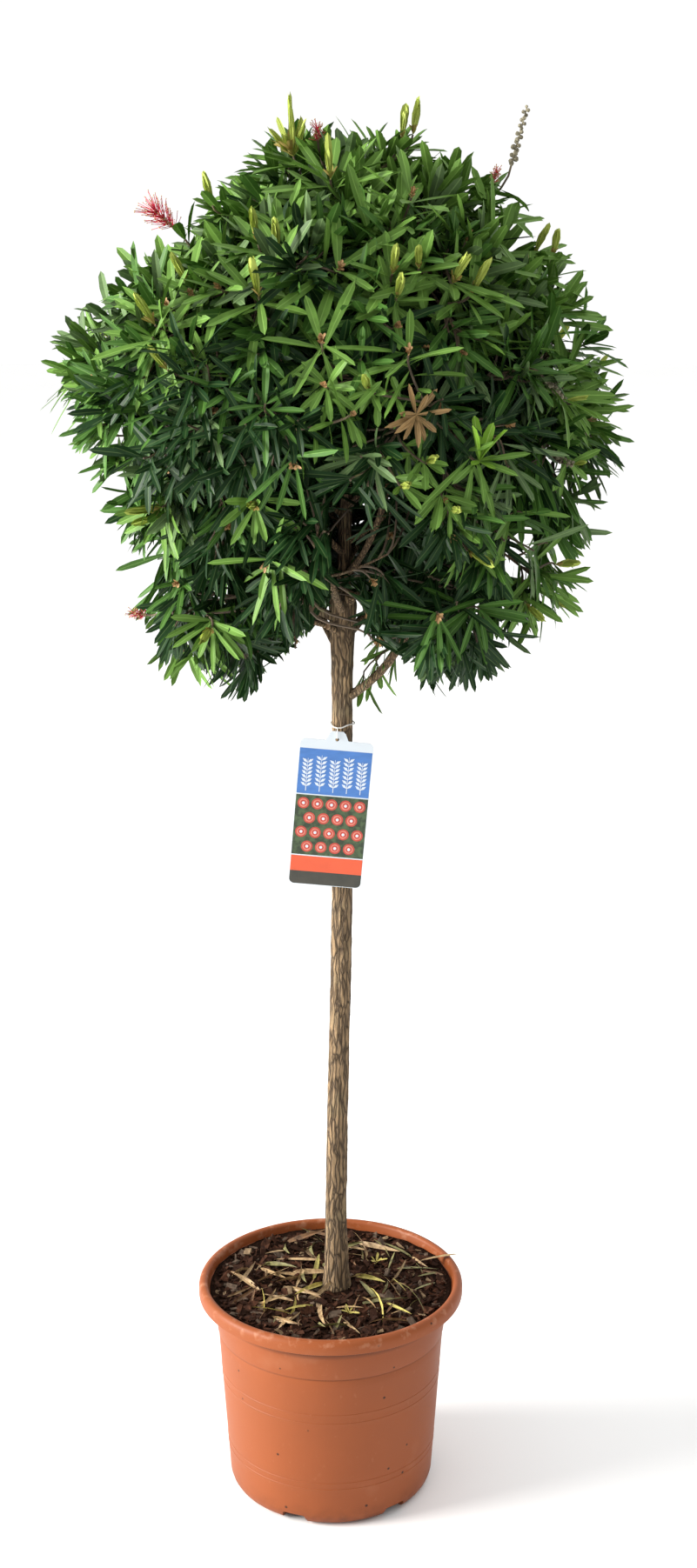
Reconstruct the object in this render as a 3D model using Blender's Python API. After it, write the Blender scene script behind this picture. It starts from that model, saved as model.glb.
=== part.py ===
"""A bottlebrush grown as a small standard tree in a nursery pot: one bare trunk with a globe crown.

Metres, +Z up. The origin is the centre of the pot's flat underside, and the front of the plant faces -Y.
The crown is made of masses of foliage. Each mass keeps to its own cone of directions round the crown's
centre, grows from the tip of its own bough, and is one closed body of twigs, leaves, shoots and blossom.
"""

import math

import bmesh
import bpy
import numpy as np
from mathutils import Matrix, Vector
from mathutils.bvhtree import BVHTree
from mathutils.kdtree import KDTree

# Clearance between neighbouring pieces
GAP = 0.0003

# Pot
POT_HEIGHT = 0.2505
RIM_RADIUS = 0.150
RIM_MOUTH_RADIUS = 0.1395
FOOT_RADIUS = 0.103
WALL_LOW_RADIUS = 0.1165
WALL_HIGH_RADIUS = 0.1282
COLLAR_STEP = 0.0008
COLLAR_TOP_RADIUS = 0.1345
COLLAR_HEIGHT = 0.1925
RIM_LOW_HEIGHT = 0.2345
POT_WALL = 0.0032
POT_SIDES = 36
NOTCH_COUNT = 6
NOTCH_SIZE = (0.030, 0.026, 0.026)
NOTCH_FIRST_ANGLE = 249.0
NOTCH_REACH = 0.1175

# Potting mix
SOIL_LEVEL = 0.2405
SOIL_SIDES = 18

# Trunk: height above the mix, sideways lean, radius
TRUNK_SIDES = 10
TRUNK_RISE = 1.062
ROOT_FLARE = 0.0047
ROOT_FLARE_RISE = 0.035
TRUNK_FOOT_RADIUS = 0.0122
TRUNK_NECK_RADIUS = 0.0111
NECK_HEIGHT = 0.900
HEAD_HEIGHT = 1.030
HEAD_RADIUS = 0.0150
SHOULDER_HEIGHT = HEAD_HEIGHT + 0.018
LEADER_RADIUS = 0.0078
LEADER_TIP_RADIUS = 0.0040
TRUNK_FOOT_X = 0.0080
TRUNK_TIP_X = 0.0245
TRUNK_WAVER = 0.0022
TRUNK_LOBING = 0.05

# Boughs
BOUGH_SIDES = 5
BOUGH_ROOM = 0.0005
BOUGH_RADII = (0.0058, 0.0045, 0.0034)
BOUGH_SPREAD = 0.42
BOUGH_LIFT = 0.30

# Crown: how far the leaf tips reach from its centre at each elevation, on its left and on its right
CROWN_CENTRE = Vector((0.008, 0.0, 1.232))
CROWN_REACH = 0.29
CROWN_PROFILE = (
    (-90, 0.185, 0.185),
    (-75, 0.300, 0.290),
    (-60, 0.322, 0.314),
    (-45, 0.312, 0.314),
    (-30, 0.256, 0.306),
    (-15, 0.268, 0.300),
    (0, 0.300, 0.294),
    (15, 0.304, 0.286),
    (30, 0.300, 0.284),
    (45, 0.284, 0.302),
    (60, 0.270, 0.308),
    (75, 0.304, 0.310),
    (90, 0.298, 0.298),
)
CELL_MARGIN = 0.0008
EDGE_DIP = 0.04
SEED = 44

# Foliage
STEM_RADII = (0.0031, 0.0029, 0.0025, 0.0019)
STEM_STRAIGHT = 0.012
TWIG_RADII = (0.0026, 0.0022, 0.0018)
TWIG_BENDS = (0.45, 0.7, 0.2)
SHORTEST_TWIG = 0.03
LEAF_LENGTH = 0.108
LEAF_WIDTH = 0.0320
LEAF_THICKNESS = 0.0022
LEAF_LEAN = (32, 78)
TIP_DEPTH = (0.42, 0.62)
STEM_DEPTH = 0.52
LEAF_DROOP = 0.22
LEAF_ROOM = 0.007
WHORL_SPACING = 0.0065
WHORL_LEAVES = 4
LEAF_SPACING = 0.0170
LEAVES_PER_TWIG = 7
TIPS_PER_MASS = 6
SHOOT_ROOT = 0.0035
GOLDEN_ANGLE = math.radians(137.508)
LIMB_ROOM = 0.0015
SHORTEST_EDGE = 0.000004
CLOSEST = 0.0000012
MEETING = 0.00002

# Ways to fit a leaf in, tried in turn: share of its length, share of its lean, turn round the twig
LEAF_TRIES = [
    (share, upright, twist)
    for share in (1.0, 0.84)
    for upright in (1.0, 0.5)
    for twist in (0.0, 0.5, -0.5, 1.2, -1.2)
]

# Rings of masses: how many, elevation, first azimuth, height of each bough's foot, and how far out
# the boughs end, as a share of the crown's reach. Azimuth 0 is +X and 90 is +Y.
RINGS = {
    "lower": {
        "count": 5,
        "elevation": -50,
        "azimuth": 190,
        "feet": (1.014, 1.024, 0.930, 0.996, 0.978),
        "entry": 0.58,
    },
    "middle": {
        "count": 6,
        "elevation": -4,
        "azimuth": 180,
        "feet": (1.054, 1.084, 1.062, 1.096, 1.072, 1.106),
        "entry": 0.40,
    },
    "upper": {
        "count": 5,
        "elevation": 41,
        "azimuth": 162,
        "feet": (1.124, 1.158, 1.132, 1.166, 1.186),
        "entry": 0.42,
    },
    "top": {
        "count": 1,
        "elevation": 88,
        "azimuth": 200,
        "feet": (None,),
        "entry": 0.30,
    },
}

# Young shoots, a spike of seed capsules and blossom that stand out of the crown: the mass that
# carries each, its tip, its length and its radius
STANDING_OUT = (
    ("foliage_top_1", (-0.0375, -0.020, 1.546), 0.060, 0.0070),
    ("foliage_top_1", (0.0800, -0.010, 1.532), 0.050, 0.0055),
    ("foliage_top_1", (-0.0100, -0.035, 1.518), 0.026, 0.0110),
    ("foliage_upper_4", (0.1960, 0.020, 1.533), 0.055, 0.0050),
    ("foliage_upper_1", (-0.1900, 0.000, 1.446), 0.040, 0.0150),
    ("foliage_upper_2", (-0.1430, -0.060, 1.462), 0.042, 0.0060),
    ("foliage_middle_4", (0.3040, 0.010, 1.305), 0.050, 0.0060),
    ("foliage_lower_1", (-0.2080, -0.030, 1.036), 0.026, 0.0110),
)

# Label that hangs on the trunk. Its outline is measured from the middle of its hole.
LABEL_WIDTH = 0.078
LABEL_HEIGHT = 0.162
LABEL_TOP = -0.001
LABEL_THICKNESS = 0.0010
LABEL_CORNER = 0.006
LABEL_TAB = ((0.012, -0.001), (0.0085, 0.0065), (0.0060, 0.0090))
LABEL_LEAN = 5.0
LABEL_HOLE = (0.0085, 0.8865)
LABEL_HOLE_RADIUS = 0.0020
LABEL_STANDOFF = 0.0022
LINK_THREAD = 0.0005
LINK_HALF_DEPTH = 0.0019
LINK_HALF_HEIGHT = 0.0058
BAND_THREAD = 0.0007


def clear_scene():
    """Removes what the scene holds."""
    for obj in list(bpy.data.objects):
        bpy.data.objects.remove(obj)


def material(name, colour, roughness, metallic=0.0):
    """A Principled surface of one colour."""
    made = bpy.data.materials.new(name)
    made.use_nodes = True
    shader = made.node_tree.nodes["Principled BSDF"]
    shader.inputs["Base Color"].default_value = (*colour, 1.0)
    shader.inputs["Roughness"].default_value = roughness
    shader.inputs["Metallic"].default_value = metallic
    made.diffuse_color = (*colour, 1.0)
    return made


def placed(name, mesh, finish):
    """A new object that shows the mesh."""
    obj = bpy.data.objects.new(name, mesh)
    mesh.materials.append(finish)
    bpy.context.scene.collection.objects.link(obj)
    return obj


def mesh_of(name, points, faces):
    """A mesh from points and faces, with its faces turned outwards."""
    mesh = bpy.data.meshes.new(name)
    mesh.from_pydata([tuple(p) for p in points], [], faces)
    work = bmesh.new()
    work.from_mesh(mesh)
    bmesh.ops.recalc_face_normals(work, faces=work.faces)
    work.to_mesh(mesh)
    work.free()
    return mesh


def smooth(mesh, angle=40):
    """Shades a round mesh smooth, apart from its sharp edges."""
    mesh.shade_smooth()
    mesh.set_sharp_from_angle(angle=math.radians(angle))


def turned(name, profile, sides, finish):
    """A solid turned about Z. The profile runs from the axis at the bottom to the axis at the top."""
    work = bmesh.new()
    verts = [work.verts.new((radius, 0.0, height)) for radius, height in profile]
    edges = [work.edges.new(pair) for pair in zip(verts, verts[1:])]
    bmesh.ops.spin(
        work,
        geom=verts + edges,
        cent=(0, 0, 0),
        axis=(0, 0, 1),
        angle=math.tau,
        steps=sides,
        use_merge=True,
    )
    bmesh.ops.remove_doubles(work, verts=work.verts, dist=1e-5)
    bmesh.ops.recalc_face_normals(work, faces=work.faces)
    mesh = bpy.data.meshes.new(name)
    work.to_mesh(mesh)
    work.free()
    smooth(mesh, 30)
    return placed(name, mesh, finish)


def frame_about(direction):
    """Two unit vectors square to a direction and to each other."""
    along = direction.normalized()
    helper = Vector((0, 0, 1)) if abs(along.z) < 0.9 else Vector((1, 0, 0))
    first = along.cross(helper).normalized()
    return first, along.cross(first)


def tube_shape(points, radii, sides):
    """The corners and faces of a closed tapering tube along a line of points, with flat ends."""
    corners, faces = [], []
    first = frame_about(points[1] - points[0])[0]
    for i, point in enumerate(points):
        along = (points[min(i + 1, len(points) - 1)] - points[max(i - 1, 0)]).normalized()
        first = (first - along * first.dot(along)).normalized()
        second = along.cross(first)
        for k in range(sides):
            turn = math.tau * k / sides
            corners.append(point + radii[i] * (math.cos(turn) * first + math.sin(turn) * second))
    for i in range(len(points) - 1):
        for k in range(sides):
            here, there = i * sides + k, i * sides + (k + 1) % sides
            faces.append((here, there, there + sides, here + sides))
    last = (len(points) - 1) * sides
    faces.append(tuple(reversed(range(sides))))
    faces.append(tuple(range(last, last + sides)))
    return corners, faces


def tube(name, points, radii, sides):
    """A closed tapering tube as a mesh."""
    return mesh_of(name, *tube_shape(points, radii, sides))


def curve_through(start, control, end, steps):
    """Points of a quadratic curve from start to end."""
    shares = [i / steps for i in range(steps + 1)]
    return [(1 - t) ** 2 * start + 2 * t * (1 - t) * control + t * t * end for t in shares]


def boolean(obj, operation, cutter=None, group=None, solver="EXACT"):
    """Adds a Boolean with one object or with a collection."""
    step = obj.modifiers.new(operation.title(), "BOOLEAN")
    step.operation = operation
    step.solver = solver
    if group is None:
        step.object = cutter
    else:
        step.operand_type = "COLLECTION"
        step.collection = group
    return step


def apply_modifiers(obj):
    """Gives the object the mesh that its modifiers make."""
    graph = bpy.context.evaluated_depsgraph_get()
    made = bpy.data.meshes.new_from_object(obj.evaluated_get(graph))
    obj.modifiers.clear()
    obj.data = made


def keep_largest(obj):
    """Drops loose scraps and sealed hollows, and keeps the body with the most faces."""
    work = bmesh.new()
    work.from_mesh(obj.data)
    left, islands = set(work.faces), []
    while left:
        stack, island = [left.pop()], set()
        while stack:
            face = stack.pop()
            island.add(face)
            for edge in face.edges:
                for other in edge.link_faces if edge.is_manifold else ():
                    if other in left:
                        left.remove(other)
                        stack.append(other)
        islands.append(island)
    islands.sort(key=len, reverse=True)
    spare = [face for island in islands[1:] for face in island]
    bmesh.ops.delete(work, geom=spare, context="FACES")
    work.to_mesh(obj.data)
    work.free()


def aim(azimuth, elevation):
    """The unit vector with that azimuth and elevation in degrees."""
    a, e = math.radians(azimuth), math.radians(elevation)
    return Vector((math.cos(a) * math.cos(e), math.sin(a) * math.cos(e), math.sin(e)))


def wall_radius(height):
    """The outer radius of the pot's wall at a height."""
    share = (height - 0.014) / (COLLAR_HEIGHT - 0.014)
    return WALL_LOW_RADIUS + share * (WALL_HIGH_RADIUS - WALL_LOW_RADIUS)


def make_pot(finish):
    """The pot: a tapered wall with a stepped collar and a rolled rim, with notches round its foot."""
    collar_radius = WALL_HIGH_RADIUS + COLLAR_STEP
    outer = [
        (0.0, 0.0),
        (FOOT_RADIUS, 0.0),
        (0.1115, 0.0035),
        (wall_radius(0.014), 0.014),
        (wall_radius(0.108), 0.108),
        (wall_radius(COLLAR_HEIGHT), COLLAR_HEIGHT),
        (collar_radius, COLLAR_HEIGHT + 0.0006),
        (COLLAR_TOP_RADIUS, RIM_LOW_HEIGHT),
        (RIM_RADIUS - 0.0025, RIM_LOW_HEIGHT),
        (RIM_RADIUS, RIM_LOW_HEIGHT + 0.0032),
        (RIM_RADIUS, POT_HEIGHT - 0.007),
        (RIM_RADIUS - 0.002, POT_HEIGHT - 0.0022),
        (RIM_RADIUS - 0.0055, POT_HEIGHT),
        (RIM_MOUTH_RADIUS + 0.0015, POT_HEIGHT - 0.0004),
    ]
    inner = [
        (RIM_MOUTH_RADIUS, POT_HEIGHT - 0.003),
        (RIM_MOUTH_RADIUS - 0.001, 0.240),
        (COLLAR_TOP_RADIUS - POT_WALL, 0.2355),
        (COLLAR_TOP_RADIUS - POT_WALL - 0.0017, 0.222),
        (wall_radius(0.014) - POT_WALL, 0.014),
        (FOOT_RADIUS, 0.0045),
        (0.0, 0.0045),
    ]
    pot = turned("pot", outer + inner, POT_SIDES, finish)
    for i in range(NOTCH_COUNT):
        turn = math.radians(NOTCH_FIRST_ANGLE) + math.tau * i / NOTCH_COUNT
        mesh = bpy.data.meshes.new("notch")
        work = bmesh.new()
        bmesh.ops.create_cube(work, size=1.0)
        bmesh.ops.scale(work, vec=NOTCH_SIZE, verts=work.verts)
        work.to_mesh(mesh)
        work.free()
        cutter = bpy.data.objects.new("notch_cutter", mesh)
        bpy.context.scene.collection.objects.link(cutter)
        place = Matrix.Rotation(turn - math.pi / 2, 4, "Z")
        centre = Vector((math.cos(turn), math.sin(turn), 0.0)) * NOTCH_REACH
        cutter.matrix_world = Matrix.Translation(centre) @ place
        bpy.context.view_layer.update()
        boolean(pot, "DIFFERENCE", cutter)
        apply_modifiers(pot)
        bpy.data.objects.remove(cutter)
    return pot


def make_soil(finish):
    """The potting mix that fills the pot, clear of its wall and floor."""
    clear = 0.0005
    profile = [
        (0.0, 0.0045 + clear),
        (FOOT_RADIUS - 0.002, 0.0045 + clear),
        (wall_radius(0.014) - POT_WALL - clear - 0.0004, 0.0148),
        (COLLAR_TOP_RADIUS - POT_WALL - 0.0017 - clear - 0.0004, 0.2216),
        (COLLAR_TOP_RADIUS - POT_WALL - clear - 0.0004, 0.2362),
        (RIM_MOUTH_RADIUS - 0.0025, SOIL_LEVEL),
        (0.0, SOIL_LEVEL),
    ]
    return turned("potting_mix", profile, SOIL_SIDES, finish)


def between(share, first, last):
    """The value that share of the way from first to last."""
    return first + share * (last - first)


def trunk_radius(height):
    """The trunk's radius: a root flare, a slow taper, a swollen head, then the thinner leader."""
    rise = height - SOIL_LEVEL
    if height <= NECK_HEIGHT:
        taper = between(rise / (NECK_HEIGHT - SOIL_LEVEL), TRUNK_FOOT_RADIUS, TRUNK_NECK_RADIUS)
        return taper + ROOT_FLARE * math.exp(-rise / ROOT_FLARE_RISE)
    if height <= HEAD_HEIGHT:
        share = (height - NECK_HEIGHT) / (HEAD_HEIGHT - NECK_HEIGHT)
        return between(share**2, TRUNK_NECK_RADIUS, HEAD_RADIUS)
    if height <= SHOULDER_HEIGHT:
        return between((height - HEAD_HEIGHT) / (SHOULDER_HEIGHT - HEAD_HEIGHT), HEAD_RADIUS, LEADER_RADIUS)
    share = (height - SHOULDER_HEIGHT) / (SOIL_LEVEL + TRUNK_RISE - SHOULDER_HEIGHT)
    return between(share, LEADER_RADIUS, LEADER_TIP_RADIUS)


def trunk_axis(height):
    """A point on the trunk's centreline: nearly upright, with a slow lean to +X and a slight waver."""
    share = (height - SOIL_LEVEL) / TRUNK_RISE
    sideways = between(share**2, TRUNK_FOOT_X, TRUNK_TIP_X)
    waver = TRUNK_WAVER * math.sin(math.tau * (0.15 + 1.4 * share))
    return Vector((sideways - waver, TRUNK_WAVER / 2 * math.sin(math.tau * share), height))


def trunk_heights():
    """The heights of the trunk's rings, from its flat foot at the mix to the leader's tip."""
    foot, tip = SOIL_LEVEL + GAP, SOIL_LEVEL + TRUNK_RISE
    flare = [foot + rise for rise in (0.0, 0.012, 0.035, 0.08)]
    heights = flare + [between(i / 6, flare[-1], NECK_HEIGHT) for i in range(1, 7)]
    heights += [between(share, NECK_HEIGHT, HEAD_HEIGHT) for share in (0.42, 0.77, 1.0)]
    return heights + [between(i / 3, SHOULDER_HEIGHT, tip) for i in range(4)]


def trunk_shape(extra=0.0):
    """The trunk's corners and faces, with level rings. Extra makes it that much fatter all round."""
    corners, faces = [], []
    heights = trunk_heights()
    for height in heights:
        for k in range(TRUNK_SIDES):
            turn = math.tau * k / TRUNK_SIDES
            lobe = 1 + TRUNK_LOBING * math.sin(3 * turn + 5 * height)
            reach = trunk_radius(height) * lobe + extra
            corners.append(trunk_axis(height) + Vector((reach * math.cos(turn), reach * math.sin(turn), 0)))
    for i in range(len(heights) - 1):
        for k in range(TRUNK_SIDES):
            here, there = i * TRUNK_SIDES + k, i * TRUNK_SIDES + (k + 1) % TRUNK_SIDES
            faces.append((here, there, there + TRUNK_SIDES, here + TRUNK_SIDES))
    last = (len(heights) - 1) * TRUNK_SIDES
    faces.append(tuple(reversed(range(TRUNK_SIDES))))
    faces.append(tuple(range(last, last + TRUNK_SIDES)))
    return corners, faces


def make_trunk(finish):
    """The trunk from its flat cut at the mix up through the crown to the leader's tip."""
    mesh = mesh_of("trunk", *trunk_shape())
    smooth(mesh)
    return placed("trunk", mesh, finish)


def crown_reach(direction):
    """How far the crown's leaf tips reach in a direction, blended round from its left to its right."""
    elevation = math.degrees(math.asin(max(-1.0, min(1.0, direction.z))))
    right = 0.5 + 0.5 * direction.x / max(1e-6, math.hypot(direction.x, direction.y))
    steps = [low for low in range(len(CROWN_PROFILE) - 1) if CROWN_PROFILE[low][0] <= elevation]
    below, above = CROWN_PROFILE[steps[-1]], CROWN_PROFILE[steps[-1] + 1]
    share = (elevation - below[0]) / (above[0] - below[0])
    left_reach = below[1] + share * (above[1] - below[1])
    right_reach = below[2] + share * (above[2] - below[2])
    return left_reach + right * (right_reach - left_reach)


def plan_masses():
    """Each mass's name, direction, reach, bough foot height and entry point, ring by ring."""
    plan = []
    for ring, rule in RINGS.items():
        for i in range(rule["count"]):
            towards = aim(rule["azimuth"] + 360 * i / rule["count"], rule["elevation"])
            entry = CROWN_CENTRE + towards * CROWN_REACH * rule["entry"]
            plan.append(
                {
                    "name": f"foliage_{ring}_{i + 1}",
                    "bough": f"bough_{ring}_{i + 1}",
                    "ring": ring,
                    "towards": towards,
                    "foot": rule["feet"][i],
                    "entry": entry,
                }
            )
    return plan


def bough_line(mass):
    """The centreline of a mass's bough: out of the trunk, then up to where the foliage begins."""
    flat = Vector((mass["towards"].x, mass["towards"].y, 0)).normalized()
    foot = trunk_axis(mass["foot"]) + flat * trunk_radius(mass["foot"]) * 0.5
    span = mass["entry"] - foot
    control = foot + flat * span.length * BOUGH_SPREAD + Vector((0, 0, span.z * BOUGH_LIFT))
    return curve_through(foot, control, mass["entry"], 2)


def bough_radii(mass):
    """The radii of a mass's bough, thinner where it leaves the slim leader."""
    slimming = min(1.0, 0.25 + trunk_radius(mass["foot"]) / TRUNK_NECK_RADIUS * 0.75)
    return [BOUGH_RADII[0] * slimming, BOUGH_RADII[1] * slimming, BOUGH_RADII[2]]


def make_boughs(plan, finish):
    """One tapering limb for each mass but the top one, cut clear of the trunk at its foot."""
    cutter = placed("trunk_envelope", mesh_of("trunk_envelope", *trunk_shape(BOUGH_ROOM)), finish)
    cutter.hide_render = True
    cutter.display_type = "WIRE"
    boughs = []
    for mass in plan:
        if mass["foot"] is None:
            continue
        limb = tube(mass["bough"], bough_line(mass), bough_radii(mass), BOUGH_SIDES)
        bough = placed(mass["bough"], limb, finish)
        boolean(bough, "DIFFERENCE", cutter)
        apply_modifiers(bough)
        keep_largest(bough)
        smooth(bough.data)
        boughs.append(bough)
    bpy.data.objects.remove(cutter)
    return boughs


def solid_tree(shape):
    """A search tree of a shape's faces, for finding what crosses it."""
    points, faces = shape
    return BVHTree.FromPolygons([tuple(p) for p in points], [tuple(f) for f in faces])


def limb_trees(plan):
    """The trunk and every bough, a little fatter than life, for keeping foliage clear of them."""
    trees = [solid_tree(trunk_shape(LIMB_ROOM))]
    for mass in plan:
        if mass["foot"] is not None:
            radii = [r + LIMB_ROOM for r in bough_radii(mass)]
            trees.append(solid_tree(tube_shape(bough_line(mass), radii, 8)))
    return trees


class Space:
    """The room that one mass may fill: its own cone of directions, less the limbs in it."""

    def __init__(self, mass, plan, limbs):
        others = [other for other in plan if other is not mass]
        self.sides = [(mass["towards"] - other["towards"]).normalized() for other in others]
        self.limbs = limbs
        self.filled = []

    def holds(self, points):
        """True if every point lies inside the cone."""
        return all((point - CROWN_CENTRE).dot(side) > CELL_MARGIN for point in points for side in self.sides)

    def free(self, tree):
        """True if a shape crosses neither a limb nor what has grown here already."""
        return not any(tree.overlap(other) for other in self.limbs + self.filled)

    def edge(self, direction):
        """How far the foliage reaches that way: less near a neighbour's border."""
        nearness = min(direction.dot(side) for side in self.sides)
        return crown_reach(direction) * (1 - EDGE_DIP * max(0.0, 1 - nearness / 0.25) ** 2)


def even_directions(count):
    """Directions spread evenly over a sphere."""
    made = []
    for i in range(count):
        up = 1 - 2 * (i + 0.5) / count
        flat = math.sqrt(1 - up * up)
        turn = GOLDEN_ANGLE * i
        made.append(Vector((flat * math.cos(turn), flat * math.sin(turn), up)))
    return made


def leaf(base, direction, up, length, width):
    """A leaf of six faces: a point at each end, two edges at the widest place and a keel below."""
    across = direction.cross(up).normalized()
    normal = across.cross(direction).normalized()
    wide = base + direction * length * 0.56
    points = [
        base,
        base + direction * length - normal * length * 0.06,
        wide - across * width / 2,
        wide + across * width / 2,
        base + direction * length * 0.42 - normal * LEAF_THICKNESS,
    ]
    faces = [(0, 3, 2), (1, 2, 3), (0, 2, 4), (0, 4, 3), (1, 4, 2), (1, 3, 4)]
    return points, faces


def blade_tree(shape, direction):
    """The search tree of a leaf's blade without its root end."""
    points, faces = shape
    return solid_tree(([points[0] + direction * LEAF_ROOM] + points[1:], faces))


def spindle(base, tip, radius, sides=4, widest=0.35):
    """A young shoot, a spike or a bloom: pointed at both ends."""
    first, second = frame_about(tip - base)
    middle = base + (tip - base) * widest
    turns = [math.tau * k / sides for k in range(sides)]
    ring = [middle + radius * (math.cos(t) * first + math.sin(t) * second) for t in turns]
    faces = []
    for k in range(sides):
        here, there = 2 + k, 2 + (k + 1) % sides
        faces += [(0, there, here), (1, here, there)]
    return [base, tip] + ring, faces


def twig_leaves(line, space, rng, most=LEAVES_PER_TWIG):
    """Leaves in a spiral down a twig from its tip. A leaf that would cross something is left out."""
    found = []
    lengths = [(b - a).length for a, b in zip(line, line[1:])]
    turn = rng.uniform(0, math.tau)
    behind = 0.0025
    for order in range(most):
        left, i = sum(lengths) - behind, 0
        while i < len(lengths) - 1 and left > lengths[i]:
            left -= lengths[i]
            i += 1
        along = (line[i + 1] - line[i]).normalized()
        root = line[i] + along * left
        first, second = frame_about(along)
        turn += GOLDEN_ANGLE
        lean = math.radians(rng.uniform(*LEAF_LEAN))
        length = LEAF_LENGTH * rng.uniform(0.85, 1.08)
        width = LEAF_WIDTH * rng.uniform(0.88, 1.1)
        behind += WHORL_SPACING if order < WHORL_LEAVES else LEAF_SPACING
        for share, upright, twist in LEAF_TRIES:
            out = math.cos(turn + twist) * first + math.sin(turn + twist) * second
            tilt = lean * upright
            spread = along * math.cos(tilt) + out * math.sin(tilt)
            direction = (spread - Vector((0, 0, LEAF_DROOP))).normalized()
            base = root - direction * 0.0007
            shape = leaf(base, direction, along, length * share, width)
            away = shape[0][1] - CROWN_CENTRE
            if away.length > space.edge(away.normalized()) * 1.015 or not space.holds(shape[0]):
                continue
            blade = blade_tree(shape, direction)
            if space.free(blade):
                found.append(shape)
                space.filled.append(blade)
                break
        if behind > sum(lengths) * 0.85:
            break
    return found


def twig_line(stem, goal, order, space):
    """A twig's line from the stem to its goal, by the first bend that keeps to the space, or None."""
    near = 2 if (goal - stem[2]).length < 0.055 or order % 2 else 3
    for at in (near, 5 - near):
        root = stem[at].lerp(stem[at - 1], 0.06 * (1 + order % 5))
        heading = (stem[at] - stem[at - 1]).normalized()
        for bend in TWIG_BENDS:
            control = root + heading * (goal - root).length * bend
            line = curve_through(root, control, goal, 2)
            outer = curve_through(root, control, goal, 6)[1:]
            clear = (goal - root).length > SHORTEST_TWIG and space.holds(outer)
            if clear and space.free(solid_tree(tube_shape(outer, [TWIG_RADII[0]] * 6, 3))):
                return line
    return None


def grow(mass, space, tips, rng):
    """The twigs, leaves, shoots and blossom of one mass, by a seeded rule.

    A stem runs on from the bough's tip. Each tip direction gets a twig that leaves the stem below it
    and bends out to it. Whatever would leave the mass's space or touch a limb is left out.
    """
    if mass["foot"] is None:
        setting_out = Vector((0, 0, 1))
        start = trunk_axis(SOIL_LEVEL + TRUNK_RISE) + setting_out * (GAP + 0.0001)
    else:
        line = bough_line(mass)
        setting_out = (line[-1] - line[-2]).normalized()
        start = line[-1] + setting_out * (GAP + 0.0001)
    stem_end = CROWN_CENTRE + mass["towards"] * (crown_reach(mass["towards"]) - LEAF_LENGTH * STEM_DEPTH)
    # The first stretch is straight, so that its flat end lies square to the bough's
    leaving = start + setting_out * STEM_STRAIGHT
    control = leaving + setting_out * (stem_end - leaving).length * 0.5
    stem = [start] + curve_through(leaving, control, stem_end, 2)
    shapes = [tube_shape(stem, STEM_RADII, 3)]
    twigs = [(stem, None)]
    goals = []
    for carrier, tip, length, radius in STANDING_OUT:
        if carrier == mass["name"]:
            tip = Vector(tip)
            outward = ((tip - CROWN_CENTRE).normalized() + Vector((0, 0, 0.8))).normalized()
            goals.append((tip - outward * (length - SHOOT_ROOT), (tip, radius)))
    for direction in tips:
        depth = LEAF_LENGTH * rng.uniform(*TIP_DEPTH)
        goals.append((CROWN_CENTRE + direction * (space.edge(direction) - depth), None))
    for order, (goal, ending) in enumerate(goals):
        line = twig_line(stem, goal, order, space)
        if line is not None:
            shapes.append(tube_shape(line, TWIG_RADII, 3))
            twigs.append((line, ending))
    space.filled += [solid_tree(shape) for shape in shapes]
    for line, ending in twigs:
        if ending is not None:
            root = line[-1] - (line[-1] - line[-2]).normalized() * SHOOT_ROOT
            shapes.append(spindle(root, *ending))
    for line, ending in twigs:
        shapes += twig_leaves(line, space, rng)
    return shapes


def united(name, shapes, finish):
    """One body from shapes that overlap, with its shortest edges closed up."""
    body = placed(name, mesh_of(name, *shapes[0]), finish)
    group = bpy.data.collections.new(name + "_parts")
    bpy.context.scene.collection.children.link(group)
    for shape in shapes[1:]:
        group.objects.link(bpy.data.objects.new("part", mesh_of("part", *shape)))
    bpy.context.view_layer.update()
    boolean(body, "UNION", group=group)
    apply_modifiers(body)
    for obj in list(group.objects):
        bpy.data.objects.remove(obj)
    bpy.data.collections.remove(group)
    work = bmesh.new()
    work.from_mesh(body.data)
    bmesh.ops.triangulate(work, faces=work.faces)
    bmesh.ops.dissolve_degenerate(work, edges=work.edges, dist=SHORTEST_EDGE)
    work.to_mesh(body.data)
    work.free()
    keep_largest(body)
    return body


def weak_point(mesh):
    """A place where the surface nearly touches itself or isn't closed, or None."""
    work = bmesh.new()
    work.from_mesh(mesh)
    found = None
    for edge in work.edges:
        if not edge.is_manifold:
            found = edge.verts[0].co.copy()
    tree = KDTree(len(work.verts))
    for i, vert in enumerate(work.verts):
        tree.insert(vert.co, i)
    tree.balance()
    for vert in work.verts:
        if found is None and len(tree.find_range(vert.co, CLOSEST)) > 1:
            found = vert.co.copy()
    work.free()
    return found


def fuse(name, shapes, finish):
    """Joins a mass's shapes into one closed body. What grows at a place that won't close is left out."""
    body = united(name, shapes, finish)
    weak = weak_point(body.data)
    while weak is not None:
        gaps = [solid_tree(shape).find_nearest(weak)[3] for shape in shapes]
        meeting = [i for i, gap in enumerate(gaps) if gap < MEETING and i > 0]
        shapes.pop(meeting[-1])
        bpy.data.objects.remove(body)
        body = united(name, shapes, finish)
        weak = weak_point(body.data)
    return body


def make_foliage(plan, finish):
    """Every mass of foliage, each in its own space."""
    limbs = limb_trees(plan)
    directions = even_directions(TIPS_PER_MASS * len(plan))
    masses = []
    for number, mass in enumerate(plan):
        space = Space(mass, plan, limbs)
        own = [d for d in directions if max(plan, key=lambda m: d.dot(m["towards"])) is mass]
        rng = np.random.default_rng(SEED + number)
        masses.append(fuse(mass["name"], grow(mass, space, own, rng), finish))
    return masses


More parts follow.
